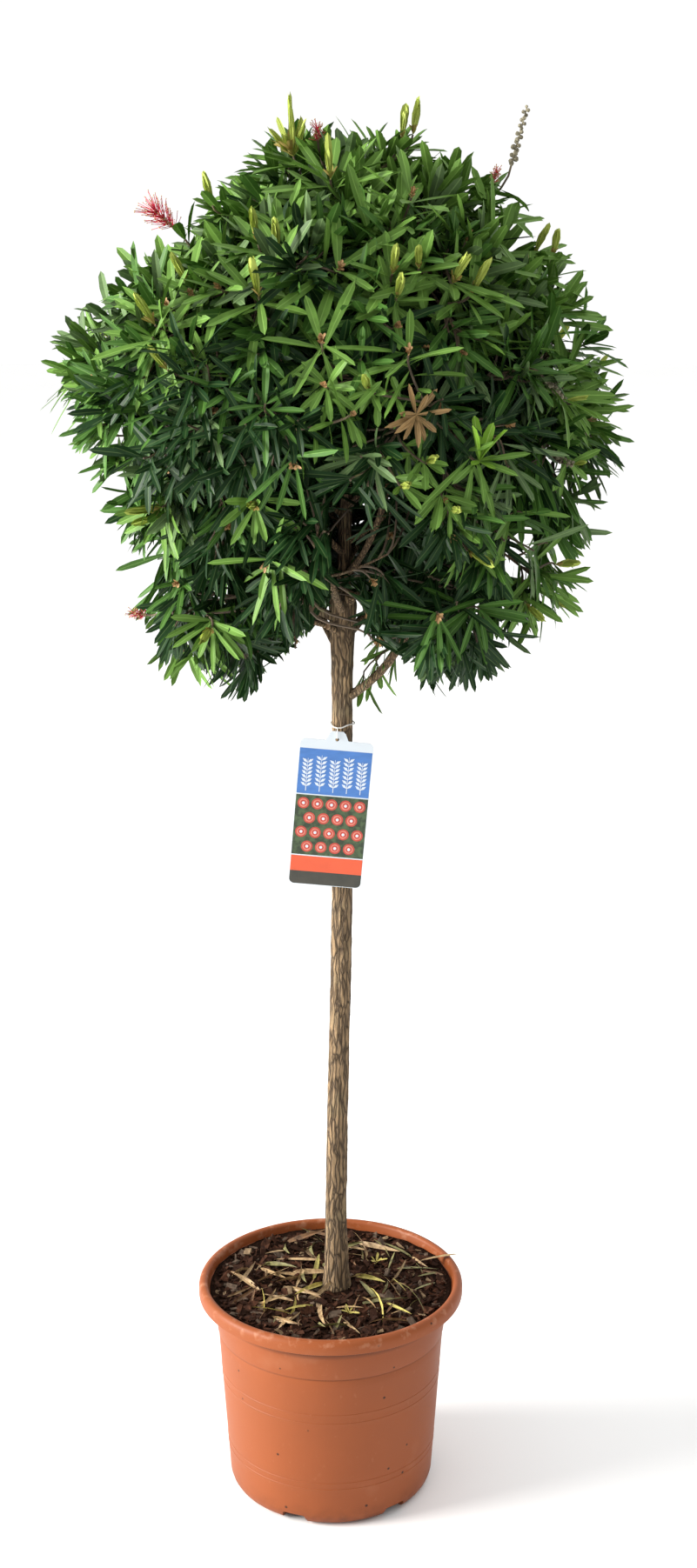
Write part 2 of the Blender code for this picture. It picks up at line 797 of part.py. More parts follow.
def label_outline():
    """The label's outline in X and Z round its hole: round corners and a tab at the top."""
    half, low = LABEL_WIDTH / 2, LABEL_TOP - LABEL_HEIGHT
    corners = (
        (half - LABEL_CORNER, low + LABEL_CORNER, 270),
        (half - LABEL_CORNER, LABEL_TOP - LABEL_CORNER, 0),
        (-half + LABEL_CORNER, LABEL_TOP - LABEL_CORNER, 90),
        (-half + LABEL_CORNER, low + LABEL_CORNER, 180),
    )
    outline = []
    for order, (x, z, first) in enumerate(corners):
        for i in range(4):
            turn = math.radians(first + 30 * i)
            outline.append((x + LABEL_CORNER * math.cos(turn), z + LABEL_CORNER * math.sin(turn)))
        if order == 1:
            outline += list(LABEL_TAB) + [(-x, z) for x, z in reversed(LABEL_TAB)]
    return outline


def label_middle():
    """The Y of the label's middle plane: it hangs just in front of the trunk."""
    heights = [LABEL_HOLE[1] - LABEL_HEIGHT + 0.02 * i for i in range(10)]
    front = min(trunk_axis(h).y - (1 + TRUNK_LOBING) * trunk_radius(h) for h in heights)
    return front - LABEL_STANDOFF - LABEL_THICKNESS / 2


def make_label(finish):
    """The plain hanging label in front of the trunk."""
    outline = label_outline()
    count, half = len(outline), LABEL_THICKNESS / 2
    points = [Vector((x, y, z)) for y in (-half, half) for x, z in outline]
    faces = [tuple(range(count)), tuple(reversed(range(count, 2 * count)))]
    faces += [(i, (i + 1) % count, count + (i + 1) % count, count + i) for i in range(count)]
    label = placed("label", mesh_of("label", points, faces), finish)
    ends = [Vector((0, -0.01, 0)), Vector((0, 0.01, 0))]
    cutter = placed("punch", tube("punch", ends, [LABEL_HOLE_RADIUS] * 2, 10), finish)
    boolean(label, "DIFFERENCE", cutter)
    apply_modifiers(label)
    bpy.data.objects.remove(cutter)
    label.data.transform(Matrix.Rotation(math.radians(LABEL_LEAN), 4, "Y"))
    label.location = (LABEL_HOLE[0], label_middle(), LABEL_HOLE[1])
    return label


def ring_mesh(points, radius, sides):
    """A closed loop of thread through the points."""
    corners, faces, count = [], [], len(points)
    middle = sum(points, Vector()) / count
    for i, point in enumerate(points):
        along = (points[(i + 1) % count] - points[i - 1]).normalized()
        outward = point - middle
        first = (outward - along * outward.dot(along)).normalized()
        second = along.cross(first)
        for k in range(sides):
            turn = math.tau * k / sides
            corners.append(point + radius * (math.cos(turn) * first + math.sin(turn) * second))
    for i in range(count):
        for k in range(sides):
            here, there = i * sides + k, i * sides + (k + 1) % sides
            across = ((i + 1) % count) * sides
            faces.append((here, there, across + (k + 1) % sides, across + k))
    return mesh_of("ring", corners, faces)


def squarish(value):
    """Pushes a cosine or sine outwards, so that an oval has fuller corners."""
    return math.copysign(math.sqrt(abs(value)), value)


def make_label_band(finish):
    """The thin elastic band round the trunk, with the link that carries the label."""
    hang = LABEL_HOLE[1] + LABEL_HOLE_RADIUS - GAP - LINK_THREAD + LINK_HALF_HEIGHT
    middle = Vector((LABEL_HOLE[0], label_middle(), hang))
    link_points = []
    for i in range(12):
        turn = math.tau * (i + 0.5) / 12
        depth = LINK_HALF_DEPTH * squarish(math.cos(turn))
        height = LINK_HALF_HEIGHT * squarish(math.sin(turn))
        link_points.append(middle + Vector((0, depth, height)))
    level = middle.z + LINK_HALF_HEIGHT
    centre = trunk_axis(level)
    snug = trunk_radius(level) * (1 + TRUNK_LOBING) + GAP + BAND_THREAD
    pull_to = Vector((middle.x - centre.x, middle.y - centre.y, 0))
    toward = math.atan2(pull_to.y, pull_to.x)
    band_points = []
    for i in range(16):
        turn = toward + math.tau * i / 16
        near = max(0.0, math.cos(turn - toward)) ** 6
        reach = snug + (pull_to.length - snug) * near
        band_points.append(centre + reach * Vector((math.cos(turn), math.sin(turn), 0)))
    band = placed("label_band", ring_mesh(band_points, BAND_THREAD, 4), finish)
    link = placed("label_link", ring_mesh(link_points, LINK_THREAD, 3), finish)
    boolean(band, "UNION", link)
    apply_modifiers(band)
    bpy.data.objects.remove(link)
    smooth(band.data, 60)
    return band


def main():
    clear_scene()
    terracotta = material("pot_plastic", (0.62, 0.24, 0.11), 0.55)
    mix = material("potting_mix", (0.05, 0.03, 0.02), 0.95)
    bark = material("bark", (0.30, 0.21, 0.13), 0.9)
    foliage = material("foliage", (0.07, 0.20, 0.05), 0.5)
    card = material("label_card", (0.75, 0.78, 0.80), 0.35)
    thread = material("label_band", (0.80, 0.80, 0.78), 0.5)
    make_pot(terracotta)
    make_soil(mix)
    make_trunk(bark)
    plan = plan_masses()
    make_boughs(plan, bark)
    make_foliage(plan, foliage)
    make_label(card)
    make_label_band(thread)


main()
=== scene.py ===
"""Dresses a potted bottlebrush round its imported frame: pot, potting mix, bark, foliage, blossom and label.

Metres, +Z up. The front of the plant faces -Y, and the origin is the centre of the pot's underside.
"""

import math
from functools import lru_cache

import bmesh
import bpy
import numpy as np
from bpy.props import FloatProperty, FloatVectorProperty, IntProperty, PointerProperty
from mathutils import Matrix, Vector, noise
from mathutils.kdtree import KDTree


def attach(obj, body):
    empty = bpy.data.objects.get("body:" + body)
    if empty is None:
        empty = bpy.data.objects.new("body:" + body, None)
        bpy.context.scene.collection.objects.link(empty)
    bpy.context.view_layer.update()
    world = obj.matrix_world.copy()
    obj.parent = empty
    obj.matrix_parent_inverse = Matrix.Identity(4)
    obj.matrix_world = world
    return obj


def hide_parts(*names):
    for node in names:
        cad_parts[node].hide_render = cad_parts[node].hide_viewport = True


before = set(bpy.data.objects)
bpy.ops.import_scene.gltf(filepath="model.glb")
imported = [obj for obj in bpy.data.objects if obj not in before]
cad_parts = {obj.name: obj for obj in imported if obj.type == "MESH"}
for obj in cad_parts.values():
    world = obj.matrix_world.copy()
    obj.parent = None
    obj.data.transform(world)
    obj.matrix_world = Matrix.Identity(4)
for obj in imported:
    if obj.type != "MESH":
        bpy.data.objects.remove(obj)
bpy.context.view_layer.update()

bl_info = {
    "name": "Potted Bottlebrush",
    "version": (1, 0, 0),
    "blender": (4, 5, 0),
    "location": "3D View > Sidebar > Bottlebrush",
    "description": "Builds the looks of a bottlebrush grown as a small standard tree in a nursery pot",
    "category": "Object",
}

FOLIAGE_NODES = sorted(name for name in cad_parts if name.startswith("foliage_"))
BOUGH_NODES = sorted(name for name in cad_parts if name.startswith("bough_"))

# Pot
POT_HEIGHT = 0.2505
RIM_RADIUS = 0.150
RIM_MOUTH_RADIUS = 0.1395
FOOT_RADIUS = 0.103
WALL_LOW_RADIUS = 0.1165
WALL_HIGH_RADIUS = 0.1282
COLLAR_STEP = 0.0008
COLLAR_TOP_RADIUS = 0.1345
COLLAR_HEIGHT = 0.1925
RIM_LOW_HEIGHT = 0.2345
POT_WALL = 0.0032
NOTCH_COUNT = 6
NOTCH_SIZE = (0.026, 0.034, 0.026)
NOTCH_FIRST_ANGLE = 249.0
NOTCH_REACH = 0.1135
NOTCH_SPREAD = 1.4
WALL_LINES = (0.147, 0.136, 0.058, 0.050)

# Potting mix
SOIL_LEVEL = 0.2405

# Trunk
TRUNK_RISE = 1.062
ROOT_FLARE = 0.0047
ROOT_FLARE_RISE = 0.035
TRUNK_FOOT_RADIUS = 0.0122
TRUNK_NECK_RADIUS = 0.0111
NECK_HEIGHT = 0.900
HEAD_HEIGHT = 1.030
HEAD_RADIUS = 0.0150
SHOULDER_HEIGHT = HEAD_HEIGHT + 0.018
LEADER_RADIUS = 0.0078
LEADER_TIP_RADIUS = 0.0040
TRUNK_FOOT_X = 0.0080
TRUNK_TIP_X = 0.0245
TRUNK_WAVER = 0.0022
TRUNK_LOBING = 0.05

# Boughs
BOUGH_RADII = (0.0047, 0.0041, 0.0033)
BOUGH_SPREAD = 0.42
BOUGH_LIFT = 0.30

# Crown: how far the leaf tips reach from its centre at each elevation, on its left and on its right
CROWN_CENTRE = Vector((0.008, 0.0, 1.232))
CROWN_REACH = 0.29
CROWN_PROFILE = (
    (-90, 0.185, 0.185),
    (-75, 0.300, 0.290),
    (-60, 0.330, 0.308),
    (-45, 0.320, 0.330),
    (-30, 0.256, 0.306),
    (-15, 0.264, 0.303),
    (0, 0.300, 0.300),
    (15, 0.291, 0.296),
    (30, 0.270, 0.279),
    (45, 0.245, 0.297),
    (60, 0.256, 0.296),
    (75, 0.273, 0.282),
    (90, 0.284, 0.284),
)
STEM_RADII = (0.0033, 0.0029, 0.0025, 0.0019)
STEM_STRAIGHT = 0.012
STEM_DEPTH = 0.056
BRANCHES_PER_MASS = 6
BRANCH_RADII = (0.0021, 0.0011)
BRANCH_DEPTH = (0.052, 0.085)
BRANCH_BEND = 0.45
GOLDEN_ANGLE = math.radians(137.508)

# Rings of masses: how many, elevation, first azimuth, height of each bough's foot, and how far out
# the boughs end, as a share of the crown's reach. Azimuth 0 is +X and 90 is +Y.
RINGS = {
    "lower": (5, -50, 190, (1.014, 1.024, 0.930, 0.996, 0.978), 0.58),
    "middle": (6, -4, 180, (1.054, 1.084, 1.062, 1.096, 1.072, 1.106), 0.40),
    "upper": (5, 41, 162, (1.124, 1.158, 1.132, 1.166, 1.186), 0.42),
    "top": (1, 88, 200, (None,), 0.30),
}

# What stands out of the crown: kind, tip, length, size, how far it turns upright
STANDING_OUT = (
    ("spears", (-0.0375, -0.020, 1.546), 0.066, 1.6, 1.6),
    ("shoot", (0.0850, -0.005, 1.535), 0.034, 0.9, 6.0),
    ("shoot", (0.0735, -0.012, 1.529), 0.032, 0.8, 6.0),
    ("brush", (-0.0102, -0.012, 1.516), 0.022, 0.45, 1.5),
    ("capsules", (0.1875, 0.0, 1.530), 0.055, 1.0, 5.0),
    ("brush", (-0.1885, -0.004, 1.437), 0.046, 1.0, -0.2),
    ("brush", (0.1690, -0.012, 1.472), 0.018, 0.38, 0.8),
    ("shoot", (-0.1170, -0.040, 1.468), 0.034, 0.9, 3.0),
    ("shoot", (0.2350, -0.020, 1.415), 0.032, 0.7, 1.4),
    ("pods", (0.3040, 0.010, 1.305), 0.050, 0.9, 0.8),
    ("brush", (-0.2095, -0.010, 1.025), 0.020, 0.45, 0.9),
)

# Small leafy shoots low on the boughs: tip, heading
SPRIGS = (
    ((0.0500, -0.010, 0.9650), (0.5, -0.3, -0.75)),
    ((0.0360, 0.004, 0.9480), (0.35, 0.1, -0.9)),
    ((0.0700, 0.006, 0.9800), (0.9, 0.1, -0.35)),
    ((0.0560, 0.012, 0.9920), (0.7, 0.5, -0.4)),
)

# Where the crown is open, as seen from the front: X, Z, half width, half height, the share of
# leaves left out there, and whether only those in front of the trunk are left out
OPENINGS = (
    (0.191, 1.399, 0.015, 0.018, 0.95, False),
    (0.242, 1.309, 0.013, 0.017, 0.95, False),
    (-0.220, 1.152, 0.012, 0.018, 0.95, False),
    (-0.184, 1.075, 0.012, 0.022, 0.90, False),
    (-0.179, 1.000, 0.008, 0.013, 0.90, False),
    (0.273, 1.125, 0.010, 0.018, 0.90, False),
    (0.143, 1.464, 0.010, 0.007, 0.90, False),
    (0.042, 1.487, 0.009, 0.007, 0.90, False),
    (0.202, 0.995, 0.010, 0.012, 0.90, False),
    (-0.022, 1.016, 0.030, 0.011, 0.95, True),
    (-0.212, 1.205, 0.015, 0.012, 0.95, False),
    (-0.120, 1.040, 0.022, 0.011, 0.92, False),
    (0.187, 1.197, 0.018, 0.011, 0.95, False),
    (0.228, 1.172, 0.011, 0.022, 0.95, False),
    (0.205, 1.100, 0.020, 0.013, 0.95, False),
    (0.196, 1.068, 0.014, 0.022, 0.95, False),
    (0.243, 1.078, 0.016, 0.016, 0.95, False),
    (0.150, 1.022, 0.014, 0.014, 0.92, False),
    (0.018, 1.098, 0.017, 0.050, 0.90, True),
    (0.045, 1.100, 0.045, 0.075, 0.55, True),
)

# How low the leaves hang as seen from the front: X, Z
UNDERSIDE = (
    (-0.40, 0.88),
    (-0.081, 0.915),
    (-0.068, 0.955),
    (-0.035, 0.980),
    (-0.006, 1.013),
    (0.007, 1.045),
    (0.032, 1.045),
    (0.042, 0.990),
    (0.084, 0.961),
    (0.112, 0.915),
    (0.40, 0.88),
)
FRONT_VIEW = Vector((0.0203, -2.327, 1.492))

# What ends a shoot in the crown's front: kind, azimuth, elevation, size
SHOOT_ENDS = (
    ("shoot", 266, 72, 1.1),
    ("shoot", 239, 50, 0.9),
    ("shoot", 250, 46, 0.9),
    ("shoot", 249, 32, 1.1),
    ("shoot", 219, 36, 0.8),
    ("shoot", 220, 23, 1.1),
    ("shoot", 231, 13, 0.7),
    ("shoot", 286, 37, 0.8),
    ("shoot", 294, 38, 0.7),
    ("shoot", 286, 31, 0.7),
    ("shoot", 303, 34, 1.3),
    ("shoot", 308, 31, 1.1),
    ("shoot", 356, 38, 0.8),
    ("shoot", 277, 10, 0.5),
    ("shoot", 289, -5, 0.5),
    ("open", 300, -5, 1.2),
    ("shoot", 284, -10, 0.6),
    ("shoot", 296, -16, 0.6),
    ("shoot", 303, -26, 0.9),
    ("shoot", 331, -40, 0.8),
    ("shoot", 347, -40, 1.0),
    ("shoot", 217, -21, 1.1),
    ("shoot", 214, -24, 0.9),
    ("shoot", 251, -16, 0.9),
    ("shoot", 233, -44, 0.9),
    ("shoot", 349, -34, 0.7),
    ("bud", 236, 34, 1.0),
    ("bud", 221, 28, 1.0),
    ("bud", 271, 39, 1.1),
    ("bud", 303, 58, 1.0),
    ("bud", 357, 63, 1.0),
    ("bud", 335, 36, 1.5),
    ("bud", 267, 20, 1.1),
    ("bud", 286, 17, 1.0),
    ("bud", 273, 5, 0.8),
    ("star", 262, -4, 1.3),
    ("bud", 252, -31, 1.1),
    ("bud", 199, -55, 1.3),
    ("bud", 221, -51, 1.0),
    ("star", 296, -38, 1.2),
    ("bronze", 287, 5, 1.0),
    ("pods", 328, 5, 1.0),
    ("pods", 333, -9, 0.6),
    ("bud", 227, 32, 0.8),
    ("bud", 294, -13, 0.7),
    ("bud", 268, 11, 0.7),
    ("shoot", 60, 40, 1.0),
    ("shoot", 100, 20, 0.9),
    ("shoot", 130, 55, 1.1),
    ("shoot", 75, -12, 0.8),
    ("shoot", 150, -25, 0.9),
    ("shoot", 25, 12, 0.8),
    ("brush", 95, 48, 0.8),
    ("brush", 40, -18, 0.6),
    ("star", 115, -2, 1.1),
    ("bud", 85, 5, 1.0),
    ("bud", 140, 10, 1.0),
    ("bud", 50, -40, 1.0),
    ("pods", 165, 15, 0.9),
    ("open", 70, 62, 1.0),
)

# Label
LABEL_WIDTH = 0.078
LABEL_HEIGHT = 0.162
LABEL_TOP = -0.001
LABEL_THICKNESS = 0.0010
LABEL_CORNER = 0.006
LABEL_TAB = ((0.012, -0.001), (0.0085, 0.0065), (0.0060, 0.0090))
LABEL_LEAN = 5.0
LABEL_HOLE = (0.0085, 0.8865)
LABEL_HOLE_RADIUS = 0.0020
LABEL_STANDOFF = 0.0022
LINK_THREAD = 0.0005
LINK_HALF_DEPTH = 0.0019
LINK_HALF_HEIGHT = 0.0058
BAND_THREAD = 0.0007
PRINT_PROUD = 0.00012

LEAVES_PER_PIECE = 12000

# Leaf outline: share of the length from its foot, share of the full width
BLADE_STATIONS = ((0.14, 0.42), (0.38, 0.80), (0.67, 1.0), (0.90, 0.72))


# Settings


class PotSettings(bpy.types.PropertyGroup):
    sides: IntProperty(name="Sides", description="Faces round the pot", default=160)
    wall: FloatVectorProperty(
        name="Wall", description="Colour of the pot's plastic", subtype="COLOR", default=(0.272, 0.066, 0.0145)
    )
    scuff: FloatVectorProperty(
        name="Scuff", description="Paler dust and rubbed patches", subtype="COLOR", default=(0.37, 0.145, 0.072)
    )
    line_depth: FloatProperty(
        name="Line depth", description="Depth of the moulded lines", unit="LENGTH", default=0.00025
    )


class MixSettings(bpy.types.PropertyGroup):
    chips: IntProperty(name="Chips", description="Bark chips on the mix", default=2800)
    litter: IntProperty(name="Fallen leaves", description="Fallen leaves on the mix", default=98)
    chip_length: FloatProperty(
        name="Chip length", description="Length of a large chip", unit="LENGTH", default=0.0155
    )
    earth: FloatVectorProperty(
        name="Earth", description="Colour of the mix", subtype="COLOR", default=(0.017, 0.0075, 0.0040)
    )
    chip: FloatVectorProperty(
        name="Chip", description="Colour of the bark chips", subtype="COLOR", default=(0.060, 0.023, 0.0115)
    )


class BarkSettings(bpy.types.PropertyGroup):
    relief: FloatProperty(
        name="Relief", description="Depth of the trunk's furrows", unit="LENGTH", default=0.0013
    )
    ridge: FloatVectorProperty(
        name="Ridge", description="Colour of the bark's ridges", subtype="COLOR", default=(0.335, 0.222, 0.118)
    )
    furrow: FloatVectorProperty(
        name="Furrow", description="Colour in the bark's furrows", subtype="COLOR", default=(0.050, 0.031, 0.016)
    )
    twig: FloatVectorProperty(
        name="Twig", description="Colour of young twigs", subtype="COLOR", default=(0.125, 0.088, 0.055)
    )


class CrownSettings(bpy.types.PropertyGroup):
    seed: IntProperty(name="Seed", description="Start of the growth's random numbers", default=44)
    shoots: IntProperty(name="Shoots", description="Leafy shoots at the crown's outside", default=1000)
    inner: IntProperty(name="Inner shoots", description="Leafy shoots deeper in the crown", default=620)
    leaves: IntProperty(name="Leaves", description="Leaves on a full shoot", default=18)
    leaf_length: FloatProperty(
        name="Leaf length", description="Length of a full leaf", unit="LENGTH", default=0.064
    )
    leaf_width: FloatProperty(
        name="Leaf width", description="Width of a full leaf", unit="LENGTH", default=0.0100
    )
    # Deep, full and bright are shaded, middle and lit copies of one green: deep is painted shade, bright is painted
    # light and also the young growth. Bloom is a grey bloom.
    deep: FloatVectorProperty(
        name="Deep", description="Leaves in painted shade", subtype="COLOR", default=(0.0100, 0.038, 0.0085)
    )
    full: FloatVectorProperty(
        name="Full", description="Full-grown leaves in the middle tone between painted light and shade", subtype="COLOR", default=(0.055, 0.142, 0.022)
    )
    bright: FloatVectorProperty(
        name="Bright", description="Leaves of this year and leaves in painted light", subtype="COLOR", default=(0.120, 0.240, 0.040)
    )
    bloom: FloatVectorProperty(
        name="Bloom", description="Leaves with a grey bloom", subtype="COLOR", default=(0.105, 0.175, 0.066)
    )


class ShootSettings(bpy.types.PropertyGroup):
    lime: FloatVectorProperty(
        name="Lime", description="Young shoots", subtype="COLOR", default=(0.42, 0.50, 0.10)
    )
    gold: FloatVectorProperty(
        name="Gold", description="Bases of the young shoots", subtype="COLOR", default=(0.44, 0.33, 0.10)
    )
    tan: FloatVectorProperty(
        name="Tan", description="Bud scales", subtype="COLOR", default=(0.42, 0.26, 0.12)
    )
    crimson: FloatVectorProperty(
        name="Crimson", description="Stamens", subtype="COLOR", default=(0.56, 0.014, 0.052)
    )
    bronze: FloatVectorProperty(
        name="Bronze", description="Withered leaves", subtype="COLOR", default=(0.30, 0.195, 0.085)
    )


class LabelSettings(bpy.types.PropertyGroup):
    card: FloatVectorProperty(
        name="Card", description="The label's card", subtype="COLOR", default=(0.62, 0.68, 0.73)
    )
    sky: FloatVectorProperty(
        name="Sky", description="The upper panel", subtype="COLOR", default=(0.06, 0.19, 0.52)
    )
    band: FloatVectorProperty(
        name="Band", description="The bright band", subtype="COLOR", default=(0.62, 0.085, 0.028)
    )


class StageSettings(bpy.types.PropertyGroup):
    floor: FloatVectorProperty(
        name="Floor", description="Colour of the floor", subtype="COLOR", default=(0.96, 0.96, 0.955)
    )
    ambient: FloatProperty(name="Ambient", description="Strength of the light from the front", default=0.50)
    backdrop: FloatProperty(name="Backdrop", description="Strength of the light from behind", default=1.02)
    ceiling: FloatProperty(name="Ceiling", description="Strength of the light from above", default=1.22)
    key: FloatProperty(name="Key", description="Power of the main light", default=515.0)
    camera_height: FloatProperty(
        name="Camera height", description="Height of the camera", unit="LENGTH", default=1.492
    )
    camera_distance: FloatProperty(
        name="Camera distance", description="Distance in front of the pot", unit="LENGTH", default=2.327
    )


# Mesh and material tools


class Shapes:
    """Collects shapes that become one mesh, each with the number of its material."""

    def __init__(self):
        self.points, self.faces, self.finishes = [], [], []

    def add(self, points, faces, finish=0):
        start = len(self.points)
        self.points += [tuple(p) for p in points]
        self.faces += [[start + corner for corner in face] for face in faces]
        self.finishes += [finish] * len(faces)

    def mesh(self, name, smooth_angle=None):
        made = bpy.data.meshes.new(name)
        made.from_pydata(self.points, [], self.faces)
        made.polygons.foreach_set("material_index", self.finishes)
        if smooth_angle is not None:
            made.shade_smooth()
            made.set_sharp_from_angle(angle=math.radians(smooth_angle))
        return made


def show(name, mesh, finishes, stands_for=()):
    """Puts a mesh in the scene as a piece that rides on the plant."""
    piece = bpy.data.objects.new(name, mesh)
    bpy.context.scene.collection.objects.link(piece)
    for finish in finishes:
        mesh.materials.append(finish)
    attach(piece, "root")
    if stands_for:
        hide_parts(*stands_for)
    return piece


class Finish:
    """A Principled material with the nodes that vary it."""

    def __init__(self, name, roughness=0.6, **sockets):
        self.material = bpy.data.materials.new(name)
        self.material.use_nodes = True
        self.nodes = self.material.node_tree.nodes
        self.links = self.material.node_tree.links
        self.shader = self.nodes["Principled BSDF"]
        self.shader.inputs["Roughness"].default_value = roughness
        for socket, value in sockets.items():
            self.shader.inputs[socket.replace("_", " ")].default_value = value
        self.place = self.nodes.new("ShaderNodeTexCoord").outputs["Object"]

    def node(self, kind, inputs=None, **options):
        """A node with its options set and its inputs linked or filled in."""
        made = self.nodes.new(kind)
        for option, value in options.items():
            setattr(made, option, value)
        for key, value in (inputs or {}).items():
            if isinstance(value, bpy.types.NodeSocket):
                self.links.new(value, made.inputs[key])
            else:
                made.inputs[key].default_value = value
        return made

    def noise(self, scale, detail=3.0, stretch=(1, 1, 1), roughness=0.55):
        """A noise value over the piece, at so many features a metre."""
        spread = self.node("ShaderNodeMapping", {"Vector": self.place, "Scale": stretch})
        made = self.node(
            "ShaderNodeTexNoise",
            {"Vector": spread.outputs["Vector"], "Scale": scale, "Detail": detail, "Roughness": roughness},
        )
        return made.outputs["Fac"]

    def ramp(self, value, *stops):
        """Colours along a value from 0 to 1."""
        made = self.node("ShaderNodeValToRGB", {"Fac": value})
        elements = made.color_ramp.elements
        for order, (position, colour) in enumerate(stops):
            element = elements[order] if order < 2 else elements.new(position)
            element.position = position
            element.color = (*colour[:3], 1.0)
        return made.outputs["Color"]

    def mix(self, share, first, second, blend="MIX"):
        """Two colours mixed by a share."""
        made = self.node("ShaderNodeMix", data_type="RGBA", blend_type=blend)
        for socket, value in ((0, share), (6, first), (7, second)):
            if isinstance(value, bpy.types.NodeSocket):
                self.links.new(value, made.inputs[socket])
            elif socket == 0:
                made.inputs[socket].default_value = value
            else:
                made.inputs[socket].default_value = (*value[:3], 1.0)
        return made.outputs[2]

    def mask(self, value, low, high):
        """0 below low, 1 above high."""
        made = self.node(
            "ShaderNodeMapRange", {"Value": value, "From Min": low, "From Max": high}, clamp=True
        )
        return made.outputs["Result"]

    def both(self, first, second):
        """Where two masks hold at once."""
        return self.node("ShaderNodeMath", {0: first, 1: second}, operation="MULTIPLY").outputs["Value"]

    def colour(self, source):
        self.links.new(source, self.shader.inputs["Base Color"])

    def roughen(self, value, low, high):
        """Roughness from low to high along a value."""
        made = self.node("ShaderNodeMapRange", {"Value": value, "To Min": low, "To Max": high})
        self.links.new(made.outputs["Result"], self.shader.inputs["Roughness"])

    def bump(self, height, distance, strength=1.0):
        """Bumps of that height in metres."""
        made = self.node(
            "ShaderNodeBump", {"Height": height, "Distance": distance, "Strength": strength}
        )
        self.links.new(made.outputs["Normal"], self.shader.inputs["Normal"])


def shaded(colour, factor):
    """A colour made darker or lighter."""
    return tuple(min(1.0, channel * factor) for channel in colour[:3])


def blended(first, second, share):
    """The colour that share of the way from first to second."""
    return tuple(a + share * (b - a) for a, b in zip(first[:3], second[:3]))


def between(share, first, last):
    """The value that share of the way from first to last."""
    return first + share * (last - first)


def frame_about(direction):
    """Two unit vectors square to a direction and to each other."""
    along = direction.normalized()
    helper = Vector((0, 0, 1)) if abs(along.z) < 0.9 else Vector((1, 0, 0))
    first = along.cross(helper).normalized()
    return first, along.cross(first)


def tube_shape(points, radii, sides, relief=None):
    """The corners and faces of a closed tapering tube along a line. Relief adds to the radius."""
    corners, faces = [], []
    first = frame_about(points[1] - points[0])[0]
    for i, point in enumerate(points):
        along = (points[min(i + 1, len(points) - 1)] - points[max(i - 1, 0)]).normalized()
        first = (first - along * first.dot(along)).normalized()
        second = along.cross(first)
        for k in range(sides):
            turn = math.tau * k / sides
            out = math.cos(turn) * first + math.sin(turn) * second
            reach = radii[i] + (relief(point + out * radii[i], radii[i]) if relief else 0.0)
            corners.append(point + reach * out)
    for i in range(len(points) - 1):
        for k in range(sides):
            here, there = i * sides + k, i * sides + (k + 1) % sides
            faces.append((here, there, there + sides, here + sides))
    last = (len(points) - 1) * sides
    faces.append(tuple(reversed(range(sides))))
    faces.append(tuple(range(last, last + sides)))
    return corners, faces


def curve_through(start, control, end, steps):
    """Points of a quadratic curve from start to end."""
    shares = [i / steps for i in range(steps + 1)]
    return [(1 - t) ** 2 * start + 2 * t * (1 - t) * control + t * t * end for t in shares]


def arch(start, setting_out, end, arriving, steps):
    """Points of a cubic curve that leaves and arrives in given directions."""
    span = end - start
    pull = lambda way: span.length * between(max(0.0, way.dot(span.normalized())), 0.10, 0.38)
    first, second = start + setting_out * pull(setting_out), end - arriving * pull(arriving)
    made = []
    for i in range(steps + 1):
        t = i / steps
        u = 1 - t
        made.append(u**3 * start + 3 * u * u * t * first + 3 * u * t * t * second + t**3 * end)
    return made


def lathe(profile, sides):
    """The points and faces of a profile turned about Z, with its ends on the axis or left open."""
    points, faces = [], []
    for radius, height in profile:
        for k in range(sides):
            turn = math.tau * k / sides
            points.append((radius * math.cos(turn), radius * math.sin(turn), height))
    for i in range(len(profile) - 1):
        for k in range(sides):
            here, there = i * sides + k, i * sides + (k + 1) % sides
            faces.append((here, there, there + sides, here + sides))
    return points, faces


def welded(mesh, distance=1e-5):
    """Joins points that fall together and turns the faces outwards."""
    work = bmesh.new()
    work.from_mesh(mesh)
    bmesh.ops.remove_doubles(work, verts=work.verts, dist=distance)
    bmesh.ops.recalc_face_normals(work, faces=work.faces)
    work.to_mesh(mesh)
    work.free()
    return mesh


def roughness_at(point, scale, octaves=3):
    """A smooth random value near -1 to 1 at a place."""
    return noise.fractal(Vector(point) * scale, 0.8, 2.1, octaves)


# Pot


def wall_radius(height):
    """The outer radius of the pot's wall at a height."""
    share = (height - 0.014) / (COLLAR_HEIGHT - 0.014)
    return WALL_LOW_RADIUS + share * (WALL_HIGH_RADIUS - WALL_LOW_RADIUS)


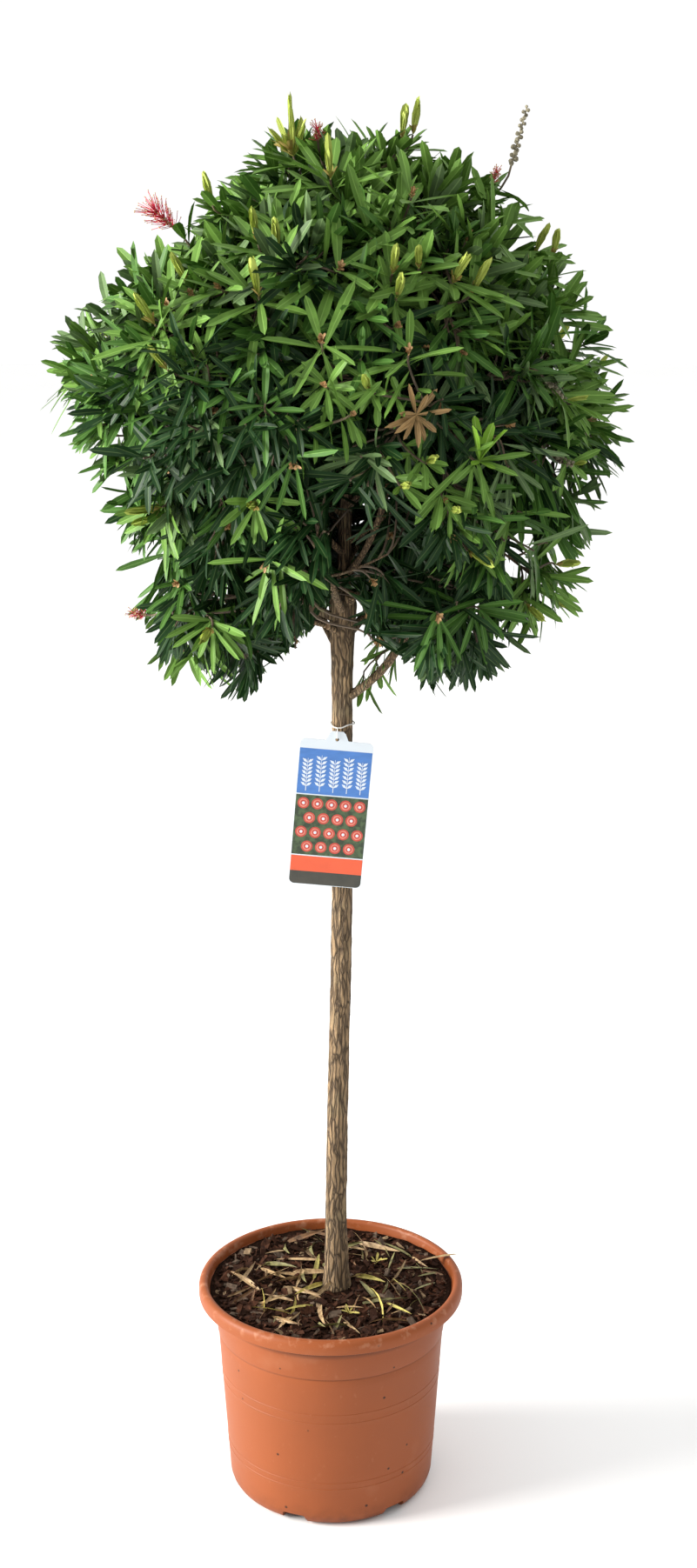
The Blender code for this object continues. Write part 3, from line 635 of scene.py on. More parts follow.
def pot_profile(line_depth):
    """The pot's section from the middle of its underside round its rim to the middle of its floor."""
    collar_radius = WALL_HIGH_RADIUS + COLLAR_STEP
    outer = [(0.0, 0.0), (FOOT_RADIUS - 0.006, 0.0), (FOOT_RADIUS, 0.0006), (0.1085, 0.0018)]
    outer += [(0.1125, 0.0050), (0.1150, 0.0090), (wall_radius(0.014), 0.014)]
    marks = [(0.020 + 0.010 * i, 0.0) for i in range(17)]
    for height in WALL_LINES:
        marks = [mark for mark in marks if abs(mark[0] - height) > 0.003]
        marks += [(height - 0.0012, 0.0), (height, line_depth), (height + 0.0005, -line_depth * 0.6)]
        marks += [(height + 0.0016, 0.0)]
    outer += [(wall_radius(height) + proud, height) for height, proud in sorted(marks)]
    outer += [
        (wall_radius(COLLAR_HEIGHT), COLLAR_HEIGHT - 0.0008),
        (wall_radius(COLLAR_HEIGHT) - 0.0002, COLLAR_HEIGHT - 0.0002),
        (collar_radius - 0.0002, COLLAR_HEIGHT + 0.0003),
        (collar_radius + 0.0001, COLLAR_HEIGHT + 0.0012),
        (between(0.5, collar_radius, COLLAR_TOP_RADIUS), between(0.5, COLLAR_HEIGHT, RIM_LOW_HEIGHT)),
        (COLLAR_TOP_RADIUS - 0.0009, RIM_LOW_HEIGHT - 0.0030),
        (COLLAR_TOP_RADIUS - 0.0006, RIM_LOW_HEIGHT - 0.0008),
        (RIM_RADIUS - 0.0062, RIM_LOW_HEIGHT - 0.0002),
        (RIM_RADIUS - 0.0014, RIM_LOW_HEIGHT + 0.0000),
        (RIM_RADIUS - 0.0003, RIM_LOW_HEIGHT + 0.0008),
        (RIM_RADIUS, RIM_LOW_HEIGHT + 0.0024),
        (RIM_RADIUS, POT_HEIGHT - 0.0075),
        (RIM_RADIUS - 0.0005, POT_HEIGHT - 0.0046),
        (RIM_RADIUS - 0.0018, POT_HEIGHT - 0.0022),
        (RIM_RADIUS - 0.0038, POT_HEIGHT - 0.0006),
        (RIM_RADIUS - 0.0060, POT_HEIGHT),
        (RIM_MOUTH_RADIUS + 0.0022, POT_HEIGHT - 0.0003),
        (RIM_MOUTH_RADIUS + 0.0007, POT_HEIGHT - 0.0014),
        (RIM_MOUTH_RADIUS, POT_HEIGHT - 0.0034),
        (RIM_MOUTH_RADIUS - 0.001, 0.240),
        (COLLAR_TOP_RADIUS - POT_WALL, 0.2355),
        (COLLAR_TOP_RADIUS - POT_WALL - 0.0017, 0.222),
        (wall_radius(0.014) - POT_WALL, 0.014),
        (FOOT_RADIUS, 0.0045),
        (0.0, 0.0045),
    ]
    return outer


def pot_finish(settings):
    """Matt terracotta plastic with a fine grain, cloudy tone, rubbed edges, a few specks of dirt and patchy darkening
    towards the foot, with painted shade under the rim's lip and in the collar's step.
    """
    finish = Finish("terracotta_plastic", 0.5, Specular_IOR_Level=0.3)
    cloud = finish.noise(9.0, 4.0)
    tone = finish.ramp(
        cloud,
        (0.30, shaded(settings.wall, 0.90)),
        (0.62, settings.wall),
        (0.80, blended(settings.wall, settings.scuff, 0.6)),
    )
    dust = finish.mask(finish.noise(120.0, 5.0, (1, 1, 0.7)), 0.64, 0.86)
    tone = finish.mix(dust, tone, blended(settings.wall, settings.scuff, 0.45))
    specks = finish.node("ShaderNodeTexVoronoi", {"Vector": finish.place, "Scale": 33.0}).outputs["Distance"]
    speck = finish.mask(specks, 0.066, 0.044)
    tone = finish.mix(speck, tone, shaded(settings.wall, 0.13))
    height = finish.node("ShaderNodeSeparateXYZ", {"Vector": finish.place}).outputs["Z"]
    # Patchy darkening towards the foot, over its lowest 30 mm, down to 0.42 of the wall's colour.
    foot_darkening = finish.both(finish.mask(height, 0.030, 0.0), finish.mask(finish.noise(60.0, 4.0), 0.35, 0.75))
    tone = finish.mix(foot_darkening, tone, shaded(settings.wall, 0.42))
    rubbed = finish.both(finish.mask(height, 0.238, 0.246), finish.mask(finish.noise(75.0, 5.0), 0.55, 0.68))
    tone = finish.mix(rubbed, tone, settings.scuff)
    # Painted shadow under the rim's lip: the wall darkens to 0.45 of its colour from 9 mm below the lip up to it,
    # fading out by 15 mm below.
    below = finish.mask(height, RIM_LOW_HEIGHT + 0.0002, RIM_LOW_HEIGHT - 0.0004)
    shade = finish.both(below, finish.mask(height, RIM_LOW_HEIGHT - 0.0150, RIM_LOW_HEIGHT - 0.0092))
    tone = finish.mix(shade, tone, shaded(settings.wall, 0.45))
    # Painted shade in the collar's step: a line about 2.4 mm tall round the step, darkened to 0.78 of the wall's
    # colour.
    away = finish.node("ShaderNodeMath", {0: height, 1: COLLAR_HEIGHT - 0.0002, 2: 0.0012}, operation="COMPARE")
    tone = finish.mix(away.outputs["Value"], tone, shaded(settings.wall, 0.78))
    finish.colour(tone)
    finish.roughen(cloud, 0.44, 0.60)
    finish.bump(finish.noise(900.0, 3.0), 0.00012, 0.7)
    return finish.material


class BOTTLEBRUSH_OT_pot(bpy.types.Operator):
    """Makes the nursery pot with its stepped collar, rolled rim, moulded lines and foot notches"""

    bl_idname = "bottlebrush.make_pot"
    bl_label = "Make pot"

    def execute(self, context):
        settings = context.scene.bottlebrush_pot
        mesh = bpy.data.meshes.new("pot_shell")
        points, faces = lathe(pot_profile(settings.line_depth), settings.sides)
        mesh.from_pydata(points, [], faces)
        welded(mesh)
        pot = show("pot_shell", mesh, [pot_finish(settings)], ["pot"])
        for i in range(NOTCH_COUNT):
            turn = math.radians(NOTCH_FIRST_ANGLE) + math.tau * i / NOTCH_COUNT
            work = bmesh.new()
            bmesh.ops.create_cube(work, size=1.0)
            bmesh.ops.scale(work, vec=NOTCH_SIZE, verts=work.verts)
            for vert in work.verts:
                vert.co.x *= NOTCH_SPREAD if vert.co.z < 0 else 1.0
            bmesh.ops.bevel(
                work, geom=work.edges[:], offset=0.003, segments=3, affect="EDGES", profile=0.5
            )
            cutter_mesh = bpy.data.meshes.new("notch")
            work.to_mesh(cutter_mesh)
            work.free()
            cutter = bpy.data.objects.new("notch", cutter_mesh)
            context.scene.collection.objects.link(cutter)
            centre = Vector((math.cos(turn), math.sin(turn), 0.0)) * NOTCH_REACH
            cutter.matrix_world = Matrix.Translation(centre) @ Matrix.Rotation(turn - math.pi / 2, 4, "Z")
            context.view_layer.update()
            cut = pot.modifiers.new("Notch", "BOOLEAN")
            cut.operation, cut.solver, cut.object = "DIFFERENCE", "EXACT", cutter
            graph = context.evaluated_depsgraph_get()
            made = bpy.data.meshes.new_from_object(pot.evaluated_get(graph))
            pot.modifiers.clear()
            pot.data = made
            bpy.data.objects.remove(cutter)
        pot.data.name = "pot_shell"
        pot.data.shade_smooth()
        pot.data.set_sharp_from_angle(angle=math.radians(38))
        return {"FINISHED"}


# Potting mix


def mix_height(x, y):
    """The height of the mix's loose surface."""
    reach = math.hypot(x, y)
    dish = 0.0016 * (reach / RIM_MOUTH_RADIUS) ** 2
    return SOIL_LEVEL - 0.0012 + dish + 0.0022 * roughness_at((x, y, 0.0), 38.0, 4)


def mix_finish(settings):
    """Dark damp crumbs."""
    finish = Finish("potting_mix_crumbs", 0.92, Specular_IOR_Level=0.05)
    crumbs = finish.noise(420.0, 5.0, roughness=0.7)
    finish.colour(
        finish.ramp(
            crumbs,
            (0.34, shaded(settings.earth, 0.45)),
            (0.56, settings.earth),
            (0.74, blended(settings.earth, settings.chip, 0.8)),
        )
    )
    finish.bump(crumbs, 0.0022)
    return finish.material


def chip_finish(name, colour):
    """A bark chip with a fibrous grain."""
    finish = Finish(name, 0.9, Specular_IOR_Level=0.12)
    grain = finish.noise(260.0, 4.0, (1, 0.35, 1))
    finish.colour(finish.ramp(grain, (0.30, shaded(colour, 0.4)), (0.58, colour), (0.80, shaded(colour, 1.9))))
    finish.bump(grain, 0.0006)
    return finish.material


def litter_finish(name, colour, spots):
    """A dry fallen leaf with darker veins and spots."""
    finish = Finish(name, 0.6)
    patch = finish.noise(140.0, 4.0)
    finish.colour(finish.ramp(patch, (0.32, spots), (0.55, colour), (0.78, shaded(colour, 1.3))))
    finish.bump(finish.noise(500.0, 2.0), 0.0003)
    return finish.material


def chip_shape(centre, length, width, thickness, rng):
    """A torn chip: a flat block whose corners are pulled about."""
    turn = Matrix.Rotation(rng.uniform(0, math.tau), 3, "Z")
    tip = Matrix.Rotation(rng.normal(0, 0.32), 3, "Y") @ Matrix.Rotation(rng.normal(0, 0.32), 3, "X")
    points = []
    for side in (-0.5, 0.5):
        for across, along in ((-0.5, -0.5), (0.5, -0.5), (0.5, 0.5), (-0.5, 0.5)):
            pull = Vector(rng.uniform(-0.22, 0.22, 3))
            corner = Vector(((along + pull.x) * length, (across + pull.y) * width, (side + pull.z) * thickness))
            points.append(centre + turn @ (tip @ corner))
    faces = [(3, 2, 1, 0), (4, 5, 6, 7), (0, 1, 5, 4), (1, 2, 6, 5), (2, 3, 7, 6), (3, 0, 4, 7)]
    return points, faces


def free_spot(rng, reach):
    """A random place on the mix, clear of the trunk."""
    while True:
        x, y = rng.uniform(-reach, reach, 2)
        away = math.hypot(x - TRUNK_FOOT_X, y)
        if math.hypot(x, y) < reach and away > TRUNK_FOOT_RADIUS + ROOT_FLARE + 0.003:
            return x, y


class BOTTLEBRUSH_OT_mix(bpy.types.Operator):
    """Makes the potting mix with its bark chips and fallen leaves"""

    bl_idname = "bottlebrush.make_mix"
    bl_label = "Make potting mix"

    def execute(self, context):
        settings = context.scene.bottlebrush_mix
        rng = np.random.default_rng(7)
        sides, rings = 144, 58
        edge = RIM_MOUTH_RADIUS - 0.0024
        profile = [(0.0, 0.005), (FOOT_RADIUS - 0.002, 0.005)]
        profile += [(wall_radius(0.014) - POT_WALL - 0.001, 0.0148)]
        shoulder = COLLAR_TOP_RADIUS - POT_WALL - 0.001
        profile += [(shoulder - 0.0017, 0.2216), (shoulder, 0.2362), (edge, 0.2402)]
        skirt = len(profile)
        profile += [(edge * (1 - i / rings), SOIL_LEVEL) for i in range(rings + 1)]
        points, faces = lathe(profile, sides)
        top = [(x, y, mix_height(x, y)) for x, y, _ in points[skirt * sides :]]
        mesh = bpy.data.meshes.new("mix_bed")
        mesh.from_pydata(points[: skirt * sides] + top, [], faces)
        welded(mesh)
        mesh.shade_smooth()
        show("mix_bed", mesh, [mix_finish(settings)], ["potting_mix"])

        chips = Shapes()
        for _ in range(settings.chips):
            size = settings.chip_length * rng.uniform(0.16, 1.0) ** 1.7
            x, y = free_spot(rng, RIM_MOUTH_RADIUS - 0.004 - size * 0.45)
            thickness = size * rng.uniform(0.08, 0.24)
            centre = Vector((x, y, mix_height(x, y) + thickness * rng.uniform(0.1, 0.9)))
            shape = chip_shape(centre, size, size * rng.uniform(0.16, 0.60), thickness, rng)
            chips.add(*shape, int(rng.choice(4, p=(0.52, 0.36, 0.08, 0.04))))
        finishes = [
            chip_finish("chip_dark", shaded(settings.chip, 0.5)),
            chip_finish("chip_brown", settings.chip),
            chip_finish("chip_grey", (0.115, 0.080, 0.056)),
            chip_finish("chip_pale", (0.26, 0.175, 0.100)),
        ]
        show("bark_chips", chips.mesh("bark_chips"), finishes)

        tones = (
            ("litter_tan", (0.38, 0.255, 0.120), (0.17, 0.09, 0.035), 0.48),
            ("litter_olive", (0.19, 0.175, 0.060), (0.10, 0.085, 0.03), 0.28),
            ("litter_yellow", (0.50, 0.42, 0.10), (0.26, 0.21, 0.05), 0.10),
            ("litter_brown", (0.17, 0.085, 0.034), (0.07, 0.035, 0.015), 0.14),
        )
        blades = {name: [] for name, *_ in tones}
        for _ in range(settings.litter):
            length = rng.uniform(0.020, 0.058)
            x, y = free_spot(rng, RIM_MOUTH_RADIUS - 0.012 - length * 0.35)
            turn = rng.uniform(0, math.tau)
            heading = Vector((math.cos(turn), math.sin(turn), rng.normal(0, 0.08))).normalized()
            middle = Vector((x, y, mix_height(x, y) + rng.uniform(0.0042, 0.0080)))
            face, curl = Vector((rng.normal(0, 0.25), rng.normal(0, 0.25), 1.0)).normalized(), rng.uniform(0.0, 0.20)
            if rng.random() < 0.55:
                face, curl = (Vector((-math.sin(turn), math.cos(turn), 0.7))).normalized(), rng.uniform(0.15, 0.55)
            name = tones[int(rng.choice(4, p=[share for *_, share in tones]))][0]
            foot = middle - heading * length / 2 + Vector((0, 0, 0.5)) * curl * length * 0.5
            width = min(0.0062, length * rng.uniform(0.08, 0.15))
            blades[name].append(
                blade_row(foot, heading, face, length, width, rng.uniform(0.1, 0.7), curl, rng.normal(0, 0.5))
            )
        across_rim = Vector((0.97, 0.04, 0.22)).normalized()
        blades["litter_tan"].append(
            blade_row(Vector((0.102, 0.045, 0.2462)), across_rim, Vector((0, 0, 1)), 0.046, 0.0064, 0.3, 0.06, 0.2)
        )
        for x, y in ((0.052, 0.048), (0.020, -0.070)):
            tuft = Vector((x, y, mix_height(x, y) + 0.002))
            whorl(blades["litter_yellow"], tuft, Vector((0.2, -0.2, 1)).normalized(), 7, rng, (35, 80), (0.008, 0.014), (0.002, 0.003))
        for name, colour, spots, _ in tones:
            finish = litter_finish(name, colour, spots)
            show(name, blade_mesh(name, blades[name]), [finish])
        return {"FINISHED"}


# Leaves


def blade_row(base, direction, face, length, width, fold, curl, twist):
    """One leaf as a row of numbers: its foot, heading, upper face, sizes, trough, droop and twist."""
    return (*base, *direction, *face, length, width, fold, curl, twist)


def blade_mesh(name, rows):
    """One mesh of many leaves. A leaf is pointed at both ends, folded along its midrib and curved."""
    table = np.array(rows, float).reshape(-1, 14)
    count = len(table)
    base, heading, face = table[:, 0:3], table[:, 3:6], table[:, 6:9]
    length, width, fold, curl, twist = (table[:, i : i + 1] for i in range(9, 14))
    across = np.cross(heading, face)
    across /= np.maximum(1e-9, np.linalg.norm(across, axis=1, keepdims=True))
    above = np.cross(across, heading)
    points = np.zeros((count, 14, 3))
    sides = np.zeros((14, 2))
    points[:, 0] = base
    sides[0] = (0.5, 0.0)
    for order, (share, wide) in enumerate(BLADE_STATIONS):
        middle = base + heading * length * share - above * curl * length * share**2
        turn = twist * share
        outward = across * np.cos(turn) + above * np.sin(turn)
        upward = above * np.cos(turn) - across * np.sin(turn)
        half = width / 2 * wide
        points[:, 1 + 3 * order] = middle - outward * half + upward * half * fold
        points[:, 2 + 3 * order] = middle
        points[:, 3 + 3 * order] = middle + outward * half + upward * half * fold
        for k in range(3):
            sides[1 + 3 * order + k] = (0.5 * k, share)
    points[:, 13] = base + heading * length - above * curl * length
    sides[13] = (0.5, 1.0)
    pattern = [(0, 3, 2), (0, 2, 1)]
    for i in range(3):
        left, mid, right = 1 + 3 * i, 2 + 3 * i, 3 + 3 * i
        pattern += [(mid, right, right + 3, mid + 3), (left, mid, mid + 3, left + 3)]
    pattern += [(11, 12, 13), (10, 11, 13)]
    corners = np.array([corner for part in pattern for corner in part])
    sizes = np.array([len(part) for part in pattern])
    loops = (corners[None, :] + 14 * np.arange(count)[:, None]).ravel()
    mesh = bpy.data.meshes.new(name)
    mesh.vertices.add(count * 14)
    mesh.vertices.foreach_set("co", points.astype(np.float32).ravel())
    mesh.loops.add(len(loops))
    mesh.loops.foreach_set("vertex_index", loops.astype(np.int32))
    starts = np.concatenate([[0], np.cumsum(np.tile(sizes, count))[:-1]])
    mesh.polygons.add(count * len(pattern))
    mesh.polygons.foreach_set("loop_start", starts.astype(np.int32))
    mesh.update(calc_edges=True)
    layer = mesh.uv_layers.new(name="blade")
    layer.data.foreach_set("uv", sides[loops % 14].astype(np.float32).ravel())
    mesh.shade_smooth()
    ends = np.zeros(len(mesh.edges) * 2, np.int32)
    mesh.edges.foreach_get("vertices", ends)
    along_rib = np.isin(ends.reshape(-1, 2) % 14, (0, 2, 5, 8, 11, 13)).all(axis=1)
    mesh.attributes.new("sharp_edge", "BOOLEAN", "EDGE").data.foreach_set("value", along_rib)
    mesh.validate()
    return mesh


def leaf_finish(name, colour, rib, roughness=0.42):
    """A leathery leaf: a pale midrib, a slight difference from leaf to leaf, and a soft sheen."""
    finish = Finish(name, roughness, Specular_IOR_Level=0.16)
    layer = finish.node("ShaderNodeUVMap", uv_map="blade").outputs["UV"]
    across = finish.node("ShaderNodeSeparateXYZ", {"Vector": layer}).outputs["X"]
    away = finish.node(
        "ShaderNodeMath",
        {0: finish.node("ShaderNodeMath", {0: across, 1: 0.5}, operation="SUBTRACT").outputs["Value"]},
        operation="ABSOLUTE",
    ).outputs["Value"]
    island = finish.node("ShaderNodeNewGeometry").outputs["Random Per Island"]
    tone = finish.ramp(
        island, (0.0, shaded(colour, 0.62)), (0.5, colour), (1.0, blended(shaded(colour, 1.35), rib, 0.12))
    )
    patch = finish.noise(70.0, 3.0)
    tone = finish.mix(finish.mask(patch, 0.35, 0.75), shaded(colour, 0.8), tone)
    tone = finish.mix(finish.mask(away, 0.075, 0.020), tone, rib)
    finish.colour(tone)
    finish.roughen(patch, roughness - 0.08, roughness + 0.12)
    finish.bump(finish.noise(700.0, 2.0), 0.0001, 0.6)
    return finish.material


# Bark


def trunk_radius(height):
    """The trunk's radius: a root flare, a slow taper, a swollen head, then the thinner leader."""
    rise = height - SOIL_LEVEL
    if height <= NECK_HEIGHT:
        taper = between(rise / (NECK_HEIGHT - SOIL_LEVEL), TRUNK_FOOT_RADIUS, TRUNK_NECK_RADIUS)
        return taper + ROOT_FLARE * math.exp(-rise / ROOT_FLARE_RISE)
    if height <= HEAD_HEIGHT:
        share = (height - NECK_HEIGHT) / (HEAD_HEIGHT - NECK_HEIGHT)
        return between(share**2, TRUNK_NECK_RADIUS, HEAD_RADIUS)
    if height <= SHOULDER_HEIGHT:
        return between((height - HEAD_HEIGHT) / (SHOULDER_HEIGHT - HEAD_HEIGHT), HEAD_RADIUS, LEADER_RADIUS)
    share = (height - SHOULDER_HEIGHT) / (SOIL_LEVEL + TRUNK_RISE - SHOULDER_HEIGHT)
    return between(share, LEADER_RADIUS, LEADER_TIP_RADIUS)


def trunk_axis(height):
    """A point on the trunk's centreline: nearly upright, with a slow lean to +X and a slight waver."""
    share = (height - SOIL_LEVEL) / TRUNK_RISE
    sideways = between(share**2, TRUNK_FOOT_X, TRUNK_TIP_X)
    waver = TRUNK_WAVER * math.sin(math.tau * (0.15 + 1.4 * share))
    return Vector((sideways - waver, TRUNK_WAVER / 2 * math.sin(math.tau * share), height))


def furrows(turn, height, radius):
    """The bark's relief from 0 in a furrow to 1 on a ridge: long plaits that twist a little."""
    swing = turn + 1.1 * height + 0.20 * math.sin(9.0 * height)
    place = Vector((math.cos(swing) * 2.7, math.sin(swing) * 2.7, height * 17.0))
    wander = noise.noise(place * 0.6 + Vector((9, 0, 0)))
    ridge = 1 - abs(noise.noise(place + Vector((wander, wander, 0)) * 0.8)) * 3.2
    fine = 1 - abs(noise.noise(Vector((place.x * 2.6, place.y * 2.6, place.z * 1.7)))) * 2.6
    flake = noise.noise(Vector((place.x * 3.0, place.y * 3.0, height * 160.0)))
    return max(0.0, 0.62 * max(0.0, ridge) + 0.30 * max(0.0, fine) + 0.16 * flake)


def bark_finish(name, ridge, furrow, scale=1.0):
    """Furrowed bark: long plaits parted by dark furrows, with fine fibres and paler flakes."""
    finish = Finish(name, 0.9)
    sway = finish.node("ShaderNodeTexNoise", {"Vector": finish.place, "Scale": 36.0 * scale, "Detail": 2.0})
    sway = finish.node("ShaderNodeVectorMath", {0: sway.outputs["Color"], 1: (0.5, 0.5, 0.5)}, operation="SUBTRACT")
    sway = finish.node("ShaderNodeVectorMath", {0: sway.outputs["Vector"], 1: (0.0095, 0.0095, 0.0)}, operation="MULTIPLY")
    place = finish.node("ShaderNodeVectorMath", {0: finish.place, 1: sway.outputs["Vector"]}, operation="ADD")
    place = finish.node("ShaderNodeMapping", {"Vector": place.outputs["Vector"], "Scale": (1, 1, 0.085)})
    plaits = finish.node(
        "ShaderNodeTexVoronoi", {"Vector": place.outputs["Vector"], "Scale": 255.0 * scale}, feature="DISTANCE_TO_EDGE"
    ).outputs["Distance"]
    groove = finish.mask(plaits, 0.0, 0.20)
    fibre = finish.noise(330.0 * scale, 5.0, (1, 1, 0.11), 0.65)
    tone = finish.ramp(
        fibre, (0.32, shaded(ridge, 0.36)), (0.50, shaded(ridge, 0.78)), (0.62, ridge), (0.78, shaded(ridge, 1.4))
    )
    moss = finish.mask(finish.noise(26.0, 3.0), 0.52, 0.70)
    tone = finish.mix(moss, tone, finish.mix(0.4, tone, (0.20, 0.180, 0.100)))
    pale = finish.mask(finish.noise(90.0, 4.0, (1, 1, 0.25)), 0.58, 0.70)
    tone = finish.mix(pale, tone, shaded(ridge, 1.25))
    finish.colour(finish.mix(groove, furrow, tone))
    both = finish.node("ShaderNodeMath", {0: fibre, 1: groove}, operation="ADD").outputs["Value"]
    finish.bump(both, 0.0014 / scale)
    return finish.material


def wood_finish():
    """Sawn wood, weathered, with rings."""
    finish = Finish("sawn_wood", 0.75)
    rings = finish.noise(330.0, 3.0, (1, 1, 0.2))
    finish.colour(finish.ramp(rings, (0.32, (0.27, 0.15, 0.08)), (0.60, (0.52, 0.33, 0.19)), (0.80, (0.62, 0.45, 0.30))))
    finish.bump(rings, 0.0005)
    return finish.material


def stub(shapes, base, top, radius):
    """A short pruned stub with bark round it and a sawn end."""
    points = [base.lerp(top, share) for share in (0.0, 0.35, 0.7, 0.92, 1.0)]
    radii = [radius * share for share in (1.25, 1.05, 1.0, 1.06, 0.98)]
    ripple = lambda place, reach: reach * 0.10 * noise.noise(place * 260.0)
    corners, faces = tube_shape(points, radii, 18, ripple)
    shapes.add(corners, faces[:-1], 0)
    cap = [corners[i] for i in faces[-1]]
    centre = sum(cap, Vector()) / len(cap) - (top - base).normalized() * radius * 0.10
    fan = [(i, (i + 1) % len(cap), len(cap)) for i in range(len(cap))]
    shapes.add(cap + [centre], fan, 1)


class BOTTLEBRUSH_OT_trunk(bpy.types.Operator):
    """Makes the trunk with its furrowed bark, swollen head and pruned stubs"""

    bl_idname = "bottlebrush.make_trunk"
    bl_label = "Make trunk"

    def execute(self, context):
        settings = context.scene.bottlebrush_bark
        foot, tip = SOIL_LEVEL - 0.004, SOIL_LEVEL + TRUNK_RISE
        sides, rings = 72, 380
        shapes, corners, faces = Shapes(), [], []
        for i in range(rings + 1):
            height = between(i / rings, foot, tip)
            radius = trunk_radius(max(height, SOIL_LEVEL))
            relief = settings.relief * min(1.0, radius / TRUNK_NECK_RADIUS)
            for k in range(sides):
                turn = math.tau * k / sides
                lobe = 1 + TRUNK_LOBING * math.sin(3 * turn + 5 * height)
                reach = radius * lobe - relief * 0.8 + relief * furrows(turn, height, radius)
                corners.append(trunk_axis(height) + Vector((reach * math.cos(turn), reach * math.sin(turn), 0)))
        for i in range(rings):
            for k in range(sides):
                here, there = i * sides + k, i * sides + (k + 1) % sides
                faces.append((here, there, there + sides, here + sides))
        last = rings * sides
        faces.append(tuple(range(last, last + sides)))
        shapes.add(corners, faces, 0)
        stub(shapes, Vector((0.015, -0.003, 1.022)), Vector((0.0225, -0.0130, 1.0420)), 0.0072)
        stub(shapes, Vector((0.012, -0.006, 1.000)), Vector((-0.0015, -0.0165, 1.0090)), 0.0034)
        stub(shapes, Vector((0.014, 0.004, 1.030)), Vector((0.0290, 0.0130, 1.0400)), 0.0042)
        mesh = shapes.mesh("trunk_bark", 60)
        finishes = [bark_finish("trunk_bark", settings.ridge, settings.furrow), wood_finish()]
        show("trunk_bark", mesh, finishes, ["trunk"])
        return {"FINISHED"}


# Growth of the crown


def aim(azimuth, elevation):
    """The unit vector with that azimuth and elevation in degrees."""
    a, e = math.radians(azimuth), math.radians(elevation)
    return Vector((math.cos(a) * math.cos(e), math.sin(a) * math.cos(e), math.sin(e)))


def crown_reach(direction):
    """How far the crown's leaf tips reach in a direction, blended round from its left to its right."""
    elevation = math.degrees(math.asin(max(-1.0, min(1.0, direction.z))))
    right = 0.5 + 0.5 * direction.x / max(1e-6, math.hypot(direction.x, direction.y))
    steps = [low for low in range(len(CROWN_PROFILE) - 1) if CROWN_PROFILE[low][0] <= elevation]
    below, above = CROWN_PROFILE[steps[-1]], CROWN_PROFILE[steps[-1] + 1]
    share = (elevation - below[0]) / (above[0] - below[0])
    left_reach = below[1] + share * (above[1] - below[1])
    right_reach = below[2] + share * (above[2] - below[2])
    return left_reach + right * (right_reach - left_reach)


def seen_from_front(point):
    """The X and Z at which the front view shows a point, on the plane through the trunk."""
    share = FRONT_VIEW.y / (FRONT_VIEW.y - point.y)
    return FRONT_VIEW.x + (point.x - FRONT_VIEW.x) * share, FRONT_VIEW.z + (point.z - FRONT_VIEW.z) * share


def below_the_leaves(point):
    """Whether the front view shows a point lower than the leaves hang."""
    x, z = seen_from_front(point)
    for (x0, z0), (x1, z1) in zip(UNDERSIDE, UNDERSIDE[1:]):
        if x0 <= x < x1:
            return z < between((x - x0) / (x1 - x0), z0, z1)
    return False


def in_the_open(point, rng):
    """Whether a leaf at a point would close one of the crown's openings."""
    if below_the_leaves(point):
        return True
    x, z = seen_from_front(point)
    for middle_x, middle_z, half_x, half_z, share, front_only in OPENINGS:
        inside = ((x - middle_x) / half_x) ** 2 + ((z - middle_z) / half_z) ** 2 < 1
        if inside and not (front_only and point.y > 0.02) and rng.random() < share:
            return True
    return False


def plan_masses():
    """Each mass's direction, the height of its bough's foot and its entry point, ring by ring."""
    plan = []
    for count, elevation, azimuth, feet, entry in RINGS.values():
        for i in range(count):
            towards = aim(azimuth + 360 * i / count, elevation)
            plan.append((towards, feet[i], CROWN_CENTRE + towards * CROWN_REACH * entry))
    return plan


def bough_line(mass, steps=2):
    """The centreline of a mass's bough: out of the trunk, then up to where the foliage begins."""
    towards, height, entry = mass
    flat = Vector((towards.x, towards.y, 0)).normalized()
    foot = trunk_axis(height) + flat * trunk_radius(height) * 0.5
    span = entry - foot
    control = foot + flat * span.length * BOUGH_SPREAD + Vector((0, 0, span.z * BOUGH_LIFT))
    return curve_through(foot, control, entry, steps)


def bough_radius(mass, share):
    """The radius of a mass's bough along it, thinner where it leaves the slim leader."""
    slimming = min(1.0, 0.25 + trunk_radius(mass[1]) / TRUNK_NECK_RADIUS * 0.75)
    first, middle = BOUGH_RADII[0] * slimming, BOUGH_RADII[1] * slimming
    if share < 0.5:
        return between(share * 2, first, middle)
    return between(share * 2 - 1, middle, BOUGH_RADII[2])


def stem_line(mass):
    """The stem that runs on from the bough's tip, or from the trunk's, to near the crown's edge."""
    towards, height, _ = mass
    if height is None:
        setting_out = Vector((0, 0, 1))
        start = trunk_axis(SOIL_LEVEL + TRUNK_RISE)
    else:
        line = bough_line(mass)
        setting_out = (line[-1] - line[-2]).normalized()
        start = line[-1]
    end = CROWN_CENTRE + towards * (crown_reach(towards) - STEM_DEPTH)
    leaving = start + setting_out * STEM_STRAIGHT
    control = leaving + setting_out * (end - leaving).length * 0.5
    return [start] + curve_through(leaving, control, end, 8)


def even_directions(count, offset=0.0):
    """Directions spread evenly over a sphere."""
    made = []
    for i in range(count):
        up = 1 - 2 * (i + 0.5) / count
        flat = math.sqrt(1 - up * up)
        turn = GOLDEN_ANGLE * i + offset
        made.append(Vector((flat * math.cos(turn), flat * math.sin(turn), up)))
    return made


def limb_guard(plan):
    """A finder of the nearest place on the trunk or a bough, and the radius there."""
    places = [(trunk_axis(0.88 + 0.004 * i), trunk_radius(0.88 + 0.004 * i)) for i in range(105)]
    for mass in plan:
        if mass[1] is not None:
            line = bough_line(mass, 24)
            places += [(point, bough_radius(mass, i / 24)) for i, point in enumerate(line)]
    tree = KDTree(len(places))
    for i, (point, _) in enumerate(places):
        tree.insert(point, i)
    tree.balance()
    return lambda point, room=0.002: tree.find(point)[2] > places[tree.find(point)[1]][1] + room


